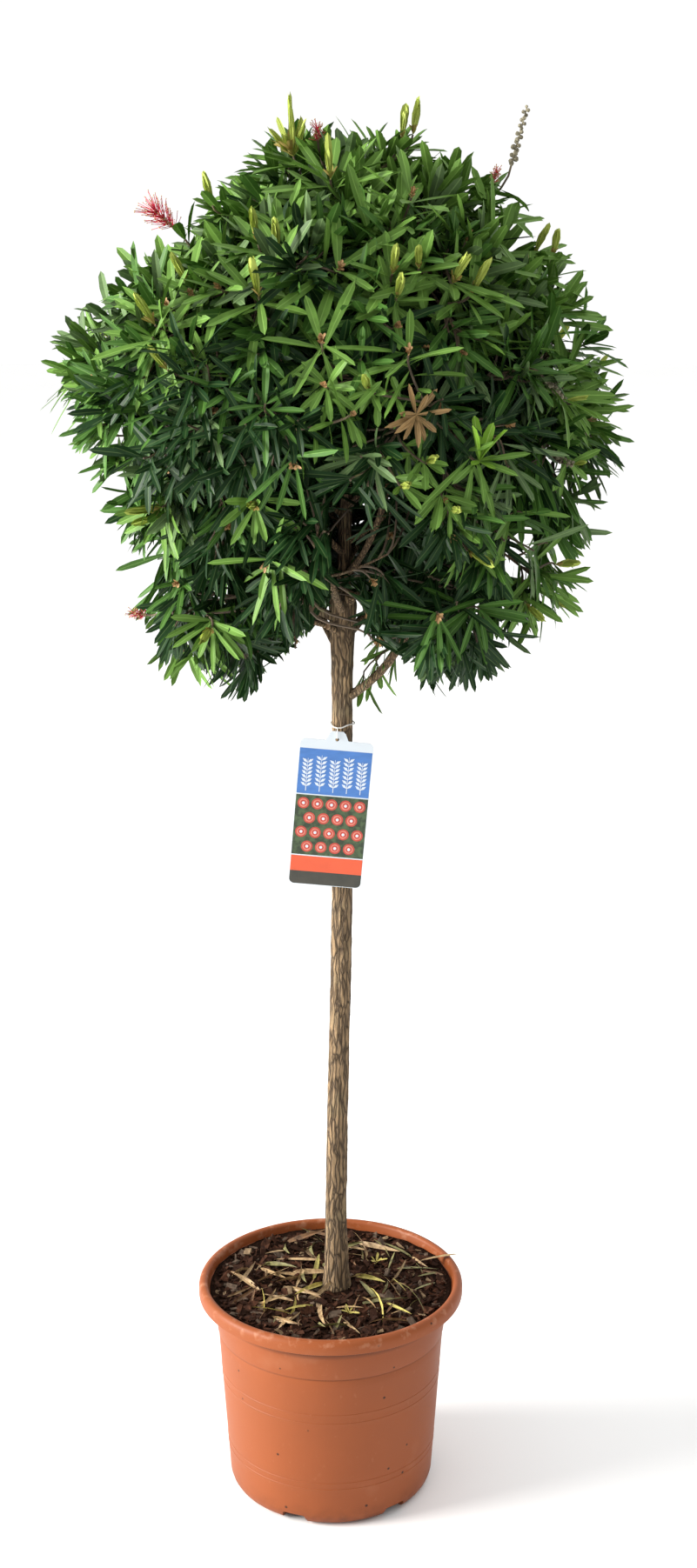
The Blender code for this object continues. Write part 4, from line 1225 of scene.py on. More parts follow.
class Shoot:
    """A twig's line with its radii, what it ends in, and the tone, size and reach of its leaves."""

    def __init__(self, line, radii, kind, tone, size, limit=1.0, flare=0.0, bare=False):
        self.line, self.radii, self.kind, self.bare = line, radii, kind, bare
        self.tone, self.size, self.limit, self.flare = tone, size, limit, flare


def heading_at(direction):
    """The way in which a shoot ends: outwards, and up at the top or down at the foot of the crown."""
    lift = 0.45 if direction.z > 0.35 else between((direction.z + 0.9) / 1.25, -0.55, 0.45)
    return (direction + Vector((0, 0, lift))).normalized()


@lru_cache(maxsize=None)
def grow(seed, outer, inner, leaf_length):
    """The boughs' stems, the branches and the shoots of the crown, by the source's rule.

    Stems run on from the boughs, branches leave the stems for even directions, and finer shoots
    leave whichever branch lies nearest to where they end.
    """
    rng = np.random.default_rng(seed)
    plan = plan_masses()
    stems = [stem_line(mass) for mass in plan]
    for stem in stems:
        while len(stem) > 7 and below_the_leaves(stem[-1] - Vector((0, 0, 0.012))):
            stem.pop()
    carriers = [(stem, STEM_RADII[0], STEM_RADII[-1]) for stem in stems]
    for order, direction in enumerate(even_directions(BRANCHES_PER_MASS * len(plan))):
        own = max(range(len(plan)), key=lambda i: direction.dot(plan[i][0]))
        stem = stems[own]
        goal = CROWN_CENTRE + direction * (crown_reach(direction) - rng.uniform(*BRANCH_DEPTH))
        if below_the_leaves(goal - Vector((0, 0, 0.03))):
            continue
        at = 4 if (goal - stem[4]).length < 0.060 or order % 2 else 6
        root = stem[at].lerp(stem[at - 1], 0.15 * (1 + order % 5))
        if (goal - root).length < 0.03:
            root = stem[2]
        out = (stem[at] - stem[at - 1]).normalized()
        control = root + out * (goal - root).length * BRANCH_BEND
        carriers.append((curve_through(root, control, goal, 8), *BRANCH_RADII))
    places = []
    for number, (line, first, last) in enumerate(carriers):
        for i in range(1, len(line)):
            for share in (0.0, 0.5):
                point = line[i].lerp(line[i - 1], share)
                radius = between((i - share) / (len(line) - 1), first, last)
                places.append((point, (line[i] - line[i - 1]).normalized(), radius))
    tree = KDTree(len(places))
    for i, (point, _, _) in enumerate(places):
        tree.insert(point, i)
    tree.balance()

    def reach_out(goal, arriving, longest=0.15):
        """A shoot's line from the best carrier to its goal, with the carrier's radius there."""
        best = None
        for point, index, distance in tree.find_n(goal, 40):
            _, along, radius = places[index]
            if distance < 0.028 or distance > longest:
                continue
            lead = (goal - point).normalized()
            cost = distance + 0.035 * (1 - lead.dot(along)) + 0.02 * max(0.0, -lead.dot(arriving))
            if best is None or cost < best[0]:
                best = (cost, point, along, lead, radius)
        if best is None:
            point, index, _ = tree.find(goal)
            _, along, radius = places[index]
            best = (0, point, along, (goal - point).normalized(), radius)
        _, point, along, lead, radius = best
        leaving = (along + lead * 0.9).normalized()
        return arch(point, leaving, goal, arriving, 7), radius

    shoots, taken = [], []
    for kind, tip, length, size, lift in STANDING_OUT:
        tip = Vector(tip)
        outward = ((tip - CROWN_CENTRE).normalized() + Vector((0, 0, lift))).normalized()
        goal = tip - outward * length
        line, radius = reach_out(goal, outward)
        shoots.append(Shoot(line, (min(radius, 0.0017), 0.0011), kind, 2, size, bare=True))
        taken.append((goal - CROWN_CENTRE).normalized())
    for tip, heading in SPRIGS:
        line, radius = reach_out(Vector(tip), Vector(heading).normalized(), 0.05)
        shoots.append(Shoot(line, (0.0012, 0.0009), "sprig", 2, 1.15))
    for kind, azimuth, elevation, size in SHOOT_ENDS:
        direction = aim(azimuth, elevation)
        depth = {"star": 0.030, "bronze": 0.045, "open": 0.030}.get(kind, 0.038)
        goal = CROWN_CENTRE + direction * (crown_reach(direction) - depth)
        arriving = direction if kind in ("star", "bronze") else heading_at(direction)
        line, radius = reach_out(goal, arriving)
        tone = 1 if kind in ("star", "bronze") else 2
        shoots.append(Shoot(line, (min(radius, 0.0017), 0.0012), kind, tone, size, flare=1.0))
        taken.append(direction)
    lobes = [(direction, rng.uniform(0.935, 1.040)) for direction in even_directions(BRANCHES_PER_MASS * len(plan))]
    for layer, count in ((0, outer), (1, inner), (2, inner // 2)):
        for direction in even_directions(count, offset=0.7 + layer):
            direction = (direction + Vector(rng.normal(0, 0.045, 3))).normalized()
            if layer == 0 and any(direction.dot(other) > 0.9955 for other in taken):
                continue
            lobe, stretch = max(lobes, key=lambda pair: direction.dot(pair[0]))
            direction = direction.lerp(lobe, 0.22).normalized()
            stretch *= 1 - 2.4 * (1 - direction.dot(lobe)) * 2
            reach = crown_reach(direction)
            depth = leaf_length * rng.uniform(0.45, 0.95) + reach * (1 - stretch)
            if layer > 0:
                depth = rng.uniform(0.080, 0.140) + 0.055 * (layer - 1)
            goal = CROWN_CENTRE + direction * (reach - depth)
            if in_the_open(goal, rng):
                continue
            arriving = (heading_at(direction) + Vector(rng.normal(0, 0.22, 3))).normalized()
            line, radius = reach_out(goal, arriving)
            # Painted light and shade: an outer shoot's leaves are lighter the more it points up, a little lighter to
            # the right and at the far sides, and darker the more it points to the front. Inner shoots always get the
            # deep, shaded tone. The grey bloom goes at random to outer shoots that are not deep in painted shade.
            sunny = 0.18 + 0.62 * direction.z + 0.10 * direction.x - 1.22 * max(0.0, -direction.y - 0.25)
            sunny += 0.12 * (abs(direction.x) > 0.6) + rng.normal(0, 0.30) - 2.0 * layer
            tone = 2 if sunny > 0.34 else 1 if sunny > -0.26 else 0
            if layer == 0 and rng.random() < 0.18 and sunny > -0.5:
                tone = 3
            kind = "bud" if rng.random() < 0.09 else "leafy"
            size = rng.uniform(0.86, 1.14)
            flare = rng.uniform(0.0, 1.0)
            radii = (min(radius, 0.0016), 0.0010)
            shoots.append(Shoot(line, radii, kind, tone, size, min(1.03, stretch + 0.02), flare))
    return plan, carriers, shoots


def from_settings(context):
    """The grown crown for the settings in the sidebar."""
    crown = context.scene.bottlebrush_crown
    return grow(crown.seed, crown.shoots, crown.inner, crown.leaf_length)


def along_line(line, behind):
    """The point and heading that far back from the end of a line."""
    for i in range(len(line) - 1, 0, -1):
        step = (line[i] - line[i - 1]).length
        if behind <= step or i == 1:
            share = min(1.0, behind / max(1e-9, step))
            return line[i].lerp(line[i - 1], share), (line[i] - line[i - 1]).normalized()
        behind -= step


def line_length(line):
    return sum((b - a).length for a, b in zip(line, line[1:]))


def whorl(rows, root, along, count, rng, lean, length, width, droop=0.0, curl=(0.0, 0.08), fold=(0.15, 0.4)):
    """A ring of blades round one point of a shoot."""
    first, second = frame_about(along)
    turn = rng.uniform(0, math.tau)
    for i in range(count):
        turn += GOLDEN_ANGLE
        tilt = math.radians(rng.uniform(*lean))
        out = math.cos(turn) * first + math.sin(turn) * second
        direction = (along * math.cos(tilt) + out * math.sin(tilt) - Vector((0, 0, droop))).normalized()
        size = rng.uniform(*length)
        rows.append(
            blade_row(
                root + along * 0.0006 * i,
                direction,
                (along + out * 0.05).normalized(),
                size,
                rng.uniform(*width),
                rng.uniform(*fold),
                rng.uniform(*curl),
                rng.normal(0, 0.15),
            )
        )


def leafy_shoot(shoot, rows, settings, clear, rng):
    """Leaves in a spiral down a shoot: a whorl at its tip, then wider apart, drooping lower down."""
    total = line_length(shoot.line)
    turn = rng.uniform(0, math.tau)
    outward = (shoot.line[-1] - CROWN_CENTRE).normalized()
    droop = between(0.5 - 0.5 * outward.z, 0.05, 0.95)
    sprig, star = shoot.kind == "sprig", shoot.kind == "star"
    behind = 0.012 if shoot.bare else 0.001
    broad = max(0.0, min(1.0, (outward.z - 0.15) / 0.5))
    aside = 0.6 * max(0.0, min(1.0, (abs(outward.x) - 0.5) / 0.35))
    full_length = settings.leaf_length * shoot.size * between(max(broad, aside), 0.82, 1.02)
    full_width = settings.leaf_width * between(broad, 0.70 + 0.14 * aside, 1.10) * (0.92 if star else 1.0)
    wanted = int((5 if sprig else settings.leaves + 3 if star else settings.leaves) * rng.uniform(0.85, 1.1))
    for order in range(wanted):
        root, along = along_line(shoot.line, behind)
        first, second = frame_about(along)
        turn += GOLDEN_ANGLE
        young = min(1.0, between(shoot.flare, 0.50, 0.76) + order * 0.09)
        open_lean = between(min(1.0, order / 8), 52, 82)
        closed_lean = between(min(1.0, order / 9), 24, 70)
        lean = math.radians(between(shoot.flare, closed_lean, open_lean) + rng.normal(0, 9))
        length = full_length * young * rng.uniform(0.86, 1.16)
        behind += 0.0020 if order < 7 else rng.uniform(0.0042, 0.0072)
        if behind > total * 0.96:
            break
        for tries in range(3):
            out = math.cos(turn) * first + math.sin(turn) * second
            spread = along * math.cos(lean) + out * math.sin(lean)
            direction = (spread - Vector((0, 0, droop * rng.uniform(0.4, 1.2)))).normalized()
            tip, middle = root + direction * length, root + direction * length * 0.5
            away = tip - CROWN_CENTRE
            limit = crown_reach(away.normalized()) * shoot.limit * rng.uniform(0.99, 1.04)
            if not sprig and away.length > limit:
                lean, length = lean * 0.8, length * 0.88
                continue
            if not sprig and (in_the_open(tip, rng) or in_the_open(middle, rng)):
                turn += 0.7
                continue
            if not (clear(tip) and clear(middle, 0.003)):
                turn += 0.9
                continue
            face = (along * 0.75 + Vector((0, 0, 0.55)) + outward * 0.35).normalized()
            rows[shoot.tone].append(
                blade_row(
                    root,
                    direction,
                    face,
                    length,
                    full_width * rng.uniform(0.82, 1.18) * (0.72 + 0.28 * young),
                    rng.uniform(0.08, 0.42),
                    rng.uniform(0.0, 0.12) + 0.06 * droop,
                    rng.normal(0, 0.28),
                )
            )
            break


class BOTTLEBRUSH_OT_boughs(bpy.types.Operator):
    """Makes the boughs that leave the trunk's head and leader, with their bark"""

    bl_idname = "bottlebrush.make_boughs"
    bl_label = "Make boughs"

    def execute(self, context):
        settings = context.scene.bottlebrush_bark
        plan, _, _ = from_settings(context)
        shapes = Shapes()
        for mass in plan:
            if mass[1] is None:
                continue
            line = [trunk_axis(mass[1])] + bough_line(mass, 30)
            radii = [bough_radius(mass, 0) * 1.1]
            for i in range(31):
                collar = 1 + 0.20 * math.exp(-i / 1.6)
                radii.append(bough_radius(mass, i / 30) * collar)
            ripple = lambda place, reach: reach * 0.13 * roughness_at(place, 190.0, 2)
            shapes.add(*tube_shape(line, radii, 14, ripple))
        ends = (trunk_axis(1.002), Vector((-0.026, -0.010, 1.0150)), Vector((-0.078, -0.020, 1.030)))
        side_branch = curve_through(*ends, 16)
        radii = [between(i / 16, 0.0036, 0.0019) for i in range(17)]
        shapes.add(*tube_shape(side_branch, radii, 12, lambda place, reach: reach * 0.1 * roughness_at(place, 190.0, 2)))
        finish = bark_finish("bough_bark", settings.ridge, settings.furrow, 1.5)
        show("bough_bark", shapes.mesh("bough_bark", 60), [finish], BOUGH_NODES)
        return {"FINISHED"}


class BOTTLEBRUSH_OT_twigs(bpy.types.Operator):
    """Makes the stems, branches and twigs that run on from the boughs"""

    bl_idname = "bottlebrush.make_twigs"
    bl_label = "Make twigs"

    def execute(self, context):
        settings = context.scene.bottlebrush_bark
        _, carriers, shoots = from_settings(context)
        branches = Shapes()
        for line, first, last in carriers:
            count = len(line) - 1
            radii = [between(i / count, first, last) for i in range(count + 1)]
            ripple = lambda place, reach: reach * 0.14 * noise.noise(place * 240.0)
            branches.add(*tube_shape(line, radii, 8, ripple))
        # Painted shade: the branches' bark is the trunk's ridge colour darkened to 0.72, for the crown's shaded
        # inside.
        finish = bark_finish("branch_bark", shaded(settings.ridge, 0.72), settings.furrow, 2.2)
        show("branches", branches.mesh("branches", 60), [finish], FOLIAGE_NODES)
        twigs = Shapes()
        for shoot in shoots:
            count = len(shoot.line) - 1
            radii = [between(i / count, *shoot.radii) for i in range(count + 1)]
            twigs.add(*tube_shape(shoot.line, radii, 5))
        finish = Finish("twig_skin", 0.7)
        skin = finish.noise(90.0, 3.0)
        finish.colour(
            finish.ramp(skin, (0.36, shaded(settings.twig, 0.6)), (0.58, settings.twig), (0.76, (0.20, 0.19, 0.07)))
        )
        finish.bump(finish.noise(800.0, 2.0), 0.0004)
        show("twigs", twigs.mesh("twigs", 60), [finish.material])
        return {"FINISHED"}


class BOTTLEBRUSH_OT_leaves(bpy.types.Operator):
    """Makes the leaves, in four tones dealt out by shoot: painted shade, a middle tone, painted light with young
    growth, and a grey bloom
    """

    bl_idname = "bottlebrush.make_leaves"
    bl_label = "Make leaves"

    def execute(self, context):
        settings = context.scene.bottlebrush_crown
        plan, _, shoots = from_settings(context)
        clear = limb_guard(plan)
        rng = np.random.default_rng(settings.seed + 1)
        rows = [[] for _ in range(4)]
        for shoot in shoots:
            if shoot.kind not in ("bronze",):
                leafy_shoot(shoot, rows, settings, clear, rng)
        # Deep is painted shade, full the middle tone, bright painted light and young growth, bloom a grey bloom.
        tones = (
            ("leaves_deep", settings.deep, 0.40),
            ("leaves_full", settings.full, 0.42),
            ("leaves_bright", settings.bright, 0.44),
            ("leaves_bloom", settings.bloom, 0.50),
        )
        for (name, colour, roughness), found in zip(tones, rows):
            rib = blended(shaded(colour, 1.5), (0.24, 0.30, 0.12), 0.22)
            finish = leaf_finish(name, colour, rib, roughness)
            for part in range(0, len(found), LEAVES_PER_PIECE):
                title = f"{name}_{part // LEAVES_PER_PIECE + 1}"
                show(title, blade_mesh(title, found[part : part + LEAVES_PER_PIECE]), [finish])
        return {"FINISHED"}


class BOTTLEBRUSH_OT_young_shoots(bpy.types.Operator):
    """Makes the lime young shoots, the tan bud scales and the withered rosette"""

    bl_idname = "bottlebrush.make_young_shoots"
    bl_label = "Make young shoots and buds"

    def execute(self, context):
        settings = context.scene.bottlebrush_shoots
        _, _, shoots = from_settings(context)
        rng = np.random.default_rng(11)
        lime, fresh, gold, tan, bronze = [], [], [], [], []
        for shoot in shoots:
            tip, along = along_line(shoot.line, 0.0)
            size = shoot.size
            if shoot.kind == "shoot":
                upright = (along + Vector((0, 0, 0.5))).normalized()
                closed = {"curl": (-0.22, -0.14), "fold": (0.3, 0.7)}
                whorl(lime, tip, upright, 10, rng, (9, 14), (0.026 * size, 0.037 * size), (0.0068, 0.0088), **closed)
                whorl(gold, tip, upright, 5, rng, (14, 40), (0.008 * size, 0.014 * size), (0.0034, 0.0048))
            elif shoot.kind == "spears":
                for way in ((0, 0, 1), (-0.75, -0.2, 0.75), (0.45, -0.3, 0.85), (-0.40, 0.25, 0.9), (0.3, 0.3, 0.9)):
                    spear = (Vector(way) + along * 0.2).normalized()
                    high = 0.060 if way[2] == 1 else 0.038
                    closed = {"curl": (-0.14, -0.06), "fold": (0.4, 0.8)}
                    whorl(lime, tip, spear, 11, rng, (5, 9), (high * 0.5, high), (0.0050, 0.0068), **closed)
                whorl(gold, tip, along, 14, rng, (20, 60), (0.012, 0.024), (0.004, 0.006))
            elif shoot.kind == "open":
                upright = (along * 0.4 + Vector((0, 0, 1))).normalized()
                whorl(fresh, tip, upright, 4, rng, (12, 36), (0.030 * size, 0.038 * size), (0.0095, 0.0120), 0, (0.0, 0.1))
                whorl(fresh, tip, upright, 4, rng, (50, 85), (0.012 * size, 0.020 * size), (0.0060, 0.0080), 0, (0.0, 0.1))
            elif shoot.kind in ("bud", "star"):
                whorl(tan, tip, along, 12, rng, (8, 55), (0.0045 * size, 0.0078 * size), (0.0026, 0.0040))
            elif shoot.kind == "pods":
                upright = (along + Vector((0, 0, 0.4))).normalized()
                whorl(lime, tip, upright, 6, rng, (7, 14), (0.016 * size, 0.026 * size), (0.0038, 0.0052), 0, (-0.15, -0.08))
            elif shoot.kind == "bronze":
                dry = {"droop": 0.15, "curl": (0.1, 0.6), "fold": (0.5, 1.1)}
                whorl(bronze, tip, along, 11, rng, (30, 86), (0.020, 0.033), (0.0044, 0.0066), **dry)
        finishes = (
            ("young_shoots", lime, settings.lime, shaded(settings.lime, 1.2)),
            ("opening_leaves", fresh, (0.17, 0.34, 0.030), (0.26, 0.40, 0.08)),
            ("shoot_bases", gold, settings.gold, settings.gold),
            ("bud_scales", tan, settings.tan, shaded(settings.tan, 1.3)),
            ("withered_leaves", bronze, settings.bronze, shaded(settings.bronze, 1.6)),
        )
        for name, found, colour, rib in finishes:
            show(name, blade_mesh(name, found), [leaf_finish(name, colour, rib, 0.5)])
        return {"FINISHED"}


def bead(centre, out, radius):
    """A small round capsule, flat where it opens."""
    first, second = frame_about(out)
    points, faces = [centre - out * radius], []
    rings = ((-0.55, 0.80), (0.25, 1.0), (0.80, 0.62))
    for high, wide in rings:
        for k in range(7):
            turn = math.tau * k / 7
            points.append(centre + out * high * radius + wide * radius * (math.cos(turn) * first + math.sin(turn) * second))
    points.append(centre + out * 0.62 * radius)
    for k in range(7):
        n = (k + 1) % 7
        faces.append((0, 1 + n, 1 + k))
        for ring in (0, 1):
            a, b = 1 + 7 * ring + k, 1 + 7 * ring + n
            faces.append((a, b, b + 7, a + 7))
        faces.append((22, 15 + k, 15 + n))
    return points, faces


class BOTTLEBRUSH_OT_blossom(bpy.types.Operator):
    """Makes the red brushes of stamens and the woody seed capsules"""

    bl_idname = "bottlebrush.make_blossom"
    bl_label = "Make blossom and capsules"

    def execute(self, context):
        settings = context.scene.bottlebrush_shoots
        _, _, shoots = from_settings(context)
        rng = np.random.default_rng(23)
        stamens, capsules = Shapes(), Shapes()
        for shoot in shoots:
            tip, along = along_line(shoot.line, 0.0)
            if shoot.kind == "brush":
                length = 0.030 * shoot.size
                end = tip + along * length
                stamens.add(*tube_shape([tip, tip.lerp(end, 0.5), end], (0.0014, 0.0012, 0.0006), 6), 2)
                first, second = frame_about(along)
                for i in range(int(110 * shoot.size)):
                    share = rng.uniform(0.05, 1.0)
                    turn = GOLDEN_ANGLE * i
                    out = math.cos(turn) * first + math.sin(turn) * second
                    tilt = math.radians(rng.uniform(38, 84) * (1.1 - 0.5 * share))
                    way = along * math.cos(tilt) + out * math.sin(tilt)
                    root = tip.lerp(end, share)
                    reach = 0.018 * shoot.size * rng.uniform(0.55, 1.1)
                    bent = root + way * reach * 0.6 + along * reach * 0.05
                    top = root + way * reach + along * reach * 0.16
                    stamens.add(*tube_shape([root, bent, top], (0.00042, 0.00036, 0.0003), 3), 0)
                    stamens.add(*tube_shape([top, top + way * 0.0009], (0.00060, 0.00050), 4), 1)
                    if i % 6 == 0:
                        stamens.add(*bead(root + out * 0.0016, out, 0.0013), 2)
            elif shoot.kind in ("capsules", "pods"):
                spike = shoot.kind == "capsules"
                length = 0.055 if spike else 0.030
                end = tip + along * (length if spike else 0.0)
                foot, _ = along_line(shoot.line, 0.004 if spike else length)
                capsules.add(*tube_shape([foot, foot.lerp(end, 0.5), end], (0.0013, 0.0011, 0.0007), 6))
                first, second = frame_about(along)
                count = 22 if spike else 16
                for i in range(count):
                    share = (i + 0.5) / count
                    turn = GOLDEN_ANGLE * i
                    out = (math.cos(turn) * first + math.sin(turn) * second + along * 0.25).normalized()
                    radius = between(share, 0.0030, 0.0019) * rng.uniform(0.85, 1.1)
                    capsules.add(*bead(foot.lerp(end, share) + out * (radius * 0.7 + 0.0008), out, radius))
        stamen = Finish("stamens", 0.45)
        hue = stamen.noise(120.0, 2.0)
        stamen.colour(
            stamen.ramp(hue, (0.3, shaded(settings.crimson, 0.7)), (0.6, settings.crimson), (0.8, (0.62, 0.09, 0.13)))
        )
        anther = Finish("anthers", 0.6)
        anther.colour(anther.ramp(anther.noise(300.0), (0.3, (0.45, 0.25, 0.10)), (0.7, (0.60, 0.42, 0.22))))
        calyx = Finish("calyx", 0.7)
        calyx.colour(calyx.ramp(calyx.noise(300.0), (0.3, (0.14, 0.07, 0.04)), (0.7, (0.30, 0.20, 0.10))))
        finishes = [stamen.material, anther.material, calyx.material]
        show("stamens", stamens.mesh("stamens", 50), finishes)
        husk = Finish("capsule_husk", 0.8)
        grain = husk.noise(380.0, 4.0)
        husk.colour(husk.ramp(grain, (0.32, (0.10, 0.085, 0.055)), (0.55, (0.27, 0.24, 0.16)), (0.8, (0.42, 0.39, 0.28))))
        husk.bump(grain, 0.0004)
        show("seed_capsules", capsules.mesh("seed_capsules", 50), [husk.material])
        return {"FINISHED"}


# Label


def label_outline(inset=0.0, steps=8):
    """The label's outline in X and Z round its hole: round corners and a tab at the top."""
    half, low = LABEL_WIDTH / 2, LABEL_TOP - LABEL_HEIGHT
    corners = (
        (half - LABEL_CORNER, low + LABEL_CORNER, 270),
        (half - LABEL_CORNER, LABEL_TOP - LABEL_CORNER, 0),
        (-half + LABEL_CORNER, LABEL_TOP - LABEL_CORNER, 90),
        (-half + LABEL_CORNER, low + LABEL_CORNER, 180),
    )
    outline = []
    for order, (x, z, first) in enumerate(corners):
        for i in range(steps + 1):
            turn = math.radians(first + 90 * i / steps)
            reach = LABEL_CORNER - inset
            outline.append((x + reach * math.cos(turn), z + reach * math.sin(turn)))
        if order == 1 and inset == 0.0:
            outline += list(LABEL_TAB) + [(-x, z) for x, z in reversed(LABEL_TAB)]
    return outline


def label_middle():
    """The Y of the label's middle plane: it hangs just in front of the trunk."""
    heights = [LABEL_HOLE[1] - LABEL_HEIGHT + 0.02 * i for i in range(10)]
    front = min(trunk_axis(h).y - (1 + TRUNK_LOBING) * trunk_radius(h) for h in heights)
    return front - LABEL_STANDOFF - LABEL_THICKNESS / 2


def label_place():
    """Where the label hangs: its hole's place and its slight lean."""
    place = Vector((LABEL_HOLE[0], label_middle(), LABEL_HOLE[1]))
    return Matrix.Translation(place) @ Matrix.Rotation(math.radians(LABEL_LEAN), 4, "Y")


def panel(shapes, outline, layer, finish):
    """A flat printed shape on the label's face. The outline runs anticlockwise seen from the front."""
    y = -LABEL_THICKNESS / 2 - PRINT_PROUD * layer
    points = [Vector((x, y, z)) for x, z in outline]
    shapes.add(points, [tuple(range(len(points)))], finish)


def strip(top, bottom):
    """A printed strip across the label between two heights, cut to the card's round corners."""
    ring = label_outline(0.0006)
    inside = [(x, z) for x, z in ring if bottom < z < top]
    half = LABEL_WIDTH / 2 - 0.0006
    right = [(x, z) for x, z in inside if x > 0]
    left = [(x, z) for x, z in inside if x < 0]
    made = []
    if not any(z < bottom + 0.006 for _, z in right):
        made.append((half, bottom))
    made += sorted(right, key=lambda p: p[1]) if right else []
    if not any(z > top - 0.006 for _, z in right):
        made.append((half, top))
    if not any(z > top - 0.006 for _, z in left):
        made.append((-half, top))
    made += sorted(left, key=lambda p: -p[1])
    if not any(z < bottom + 0.006 for _, z in left):
        made.append((-half, bottom))
    return made


def print_finish(name, *stops, scale=60.0, stretch=(1, 1, 1)):
    """Gloss print with soft changes of tone."""
    finish = Finish(name, 0.32)
    value = finish.noise(scale, 3.0, stretch)
    finish.colour(finish.ramp(value, *stops))
    finish.bump(finish.noise(1200.0, 2.0), 0.00003, 0.5)
    return finish.material


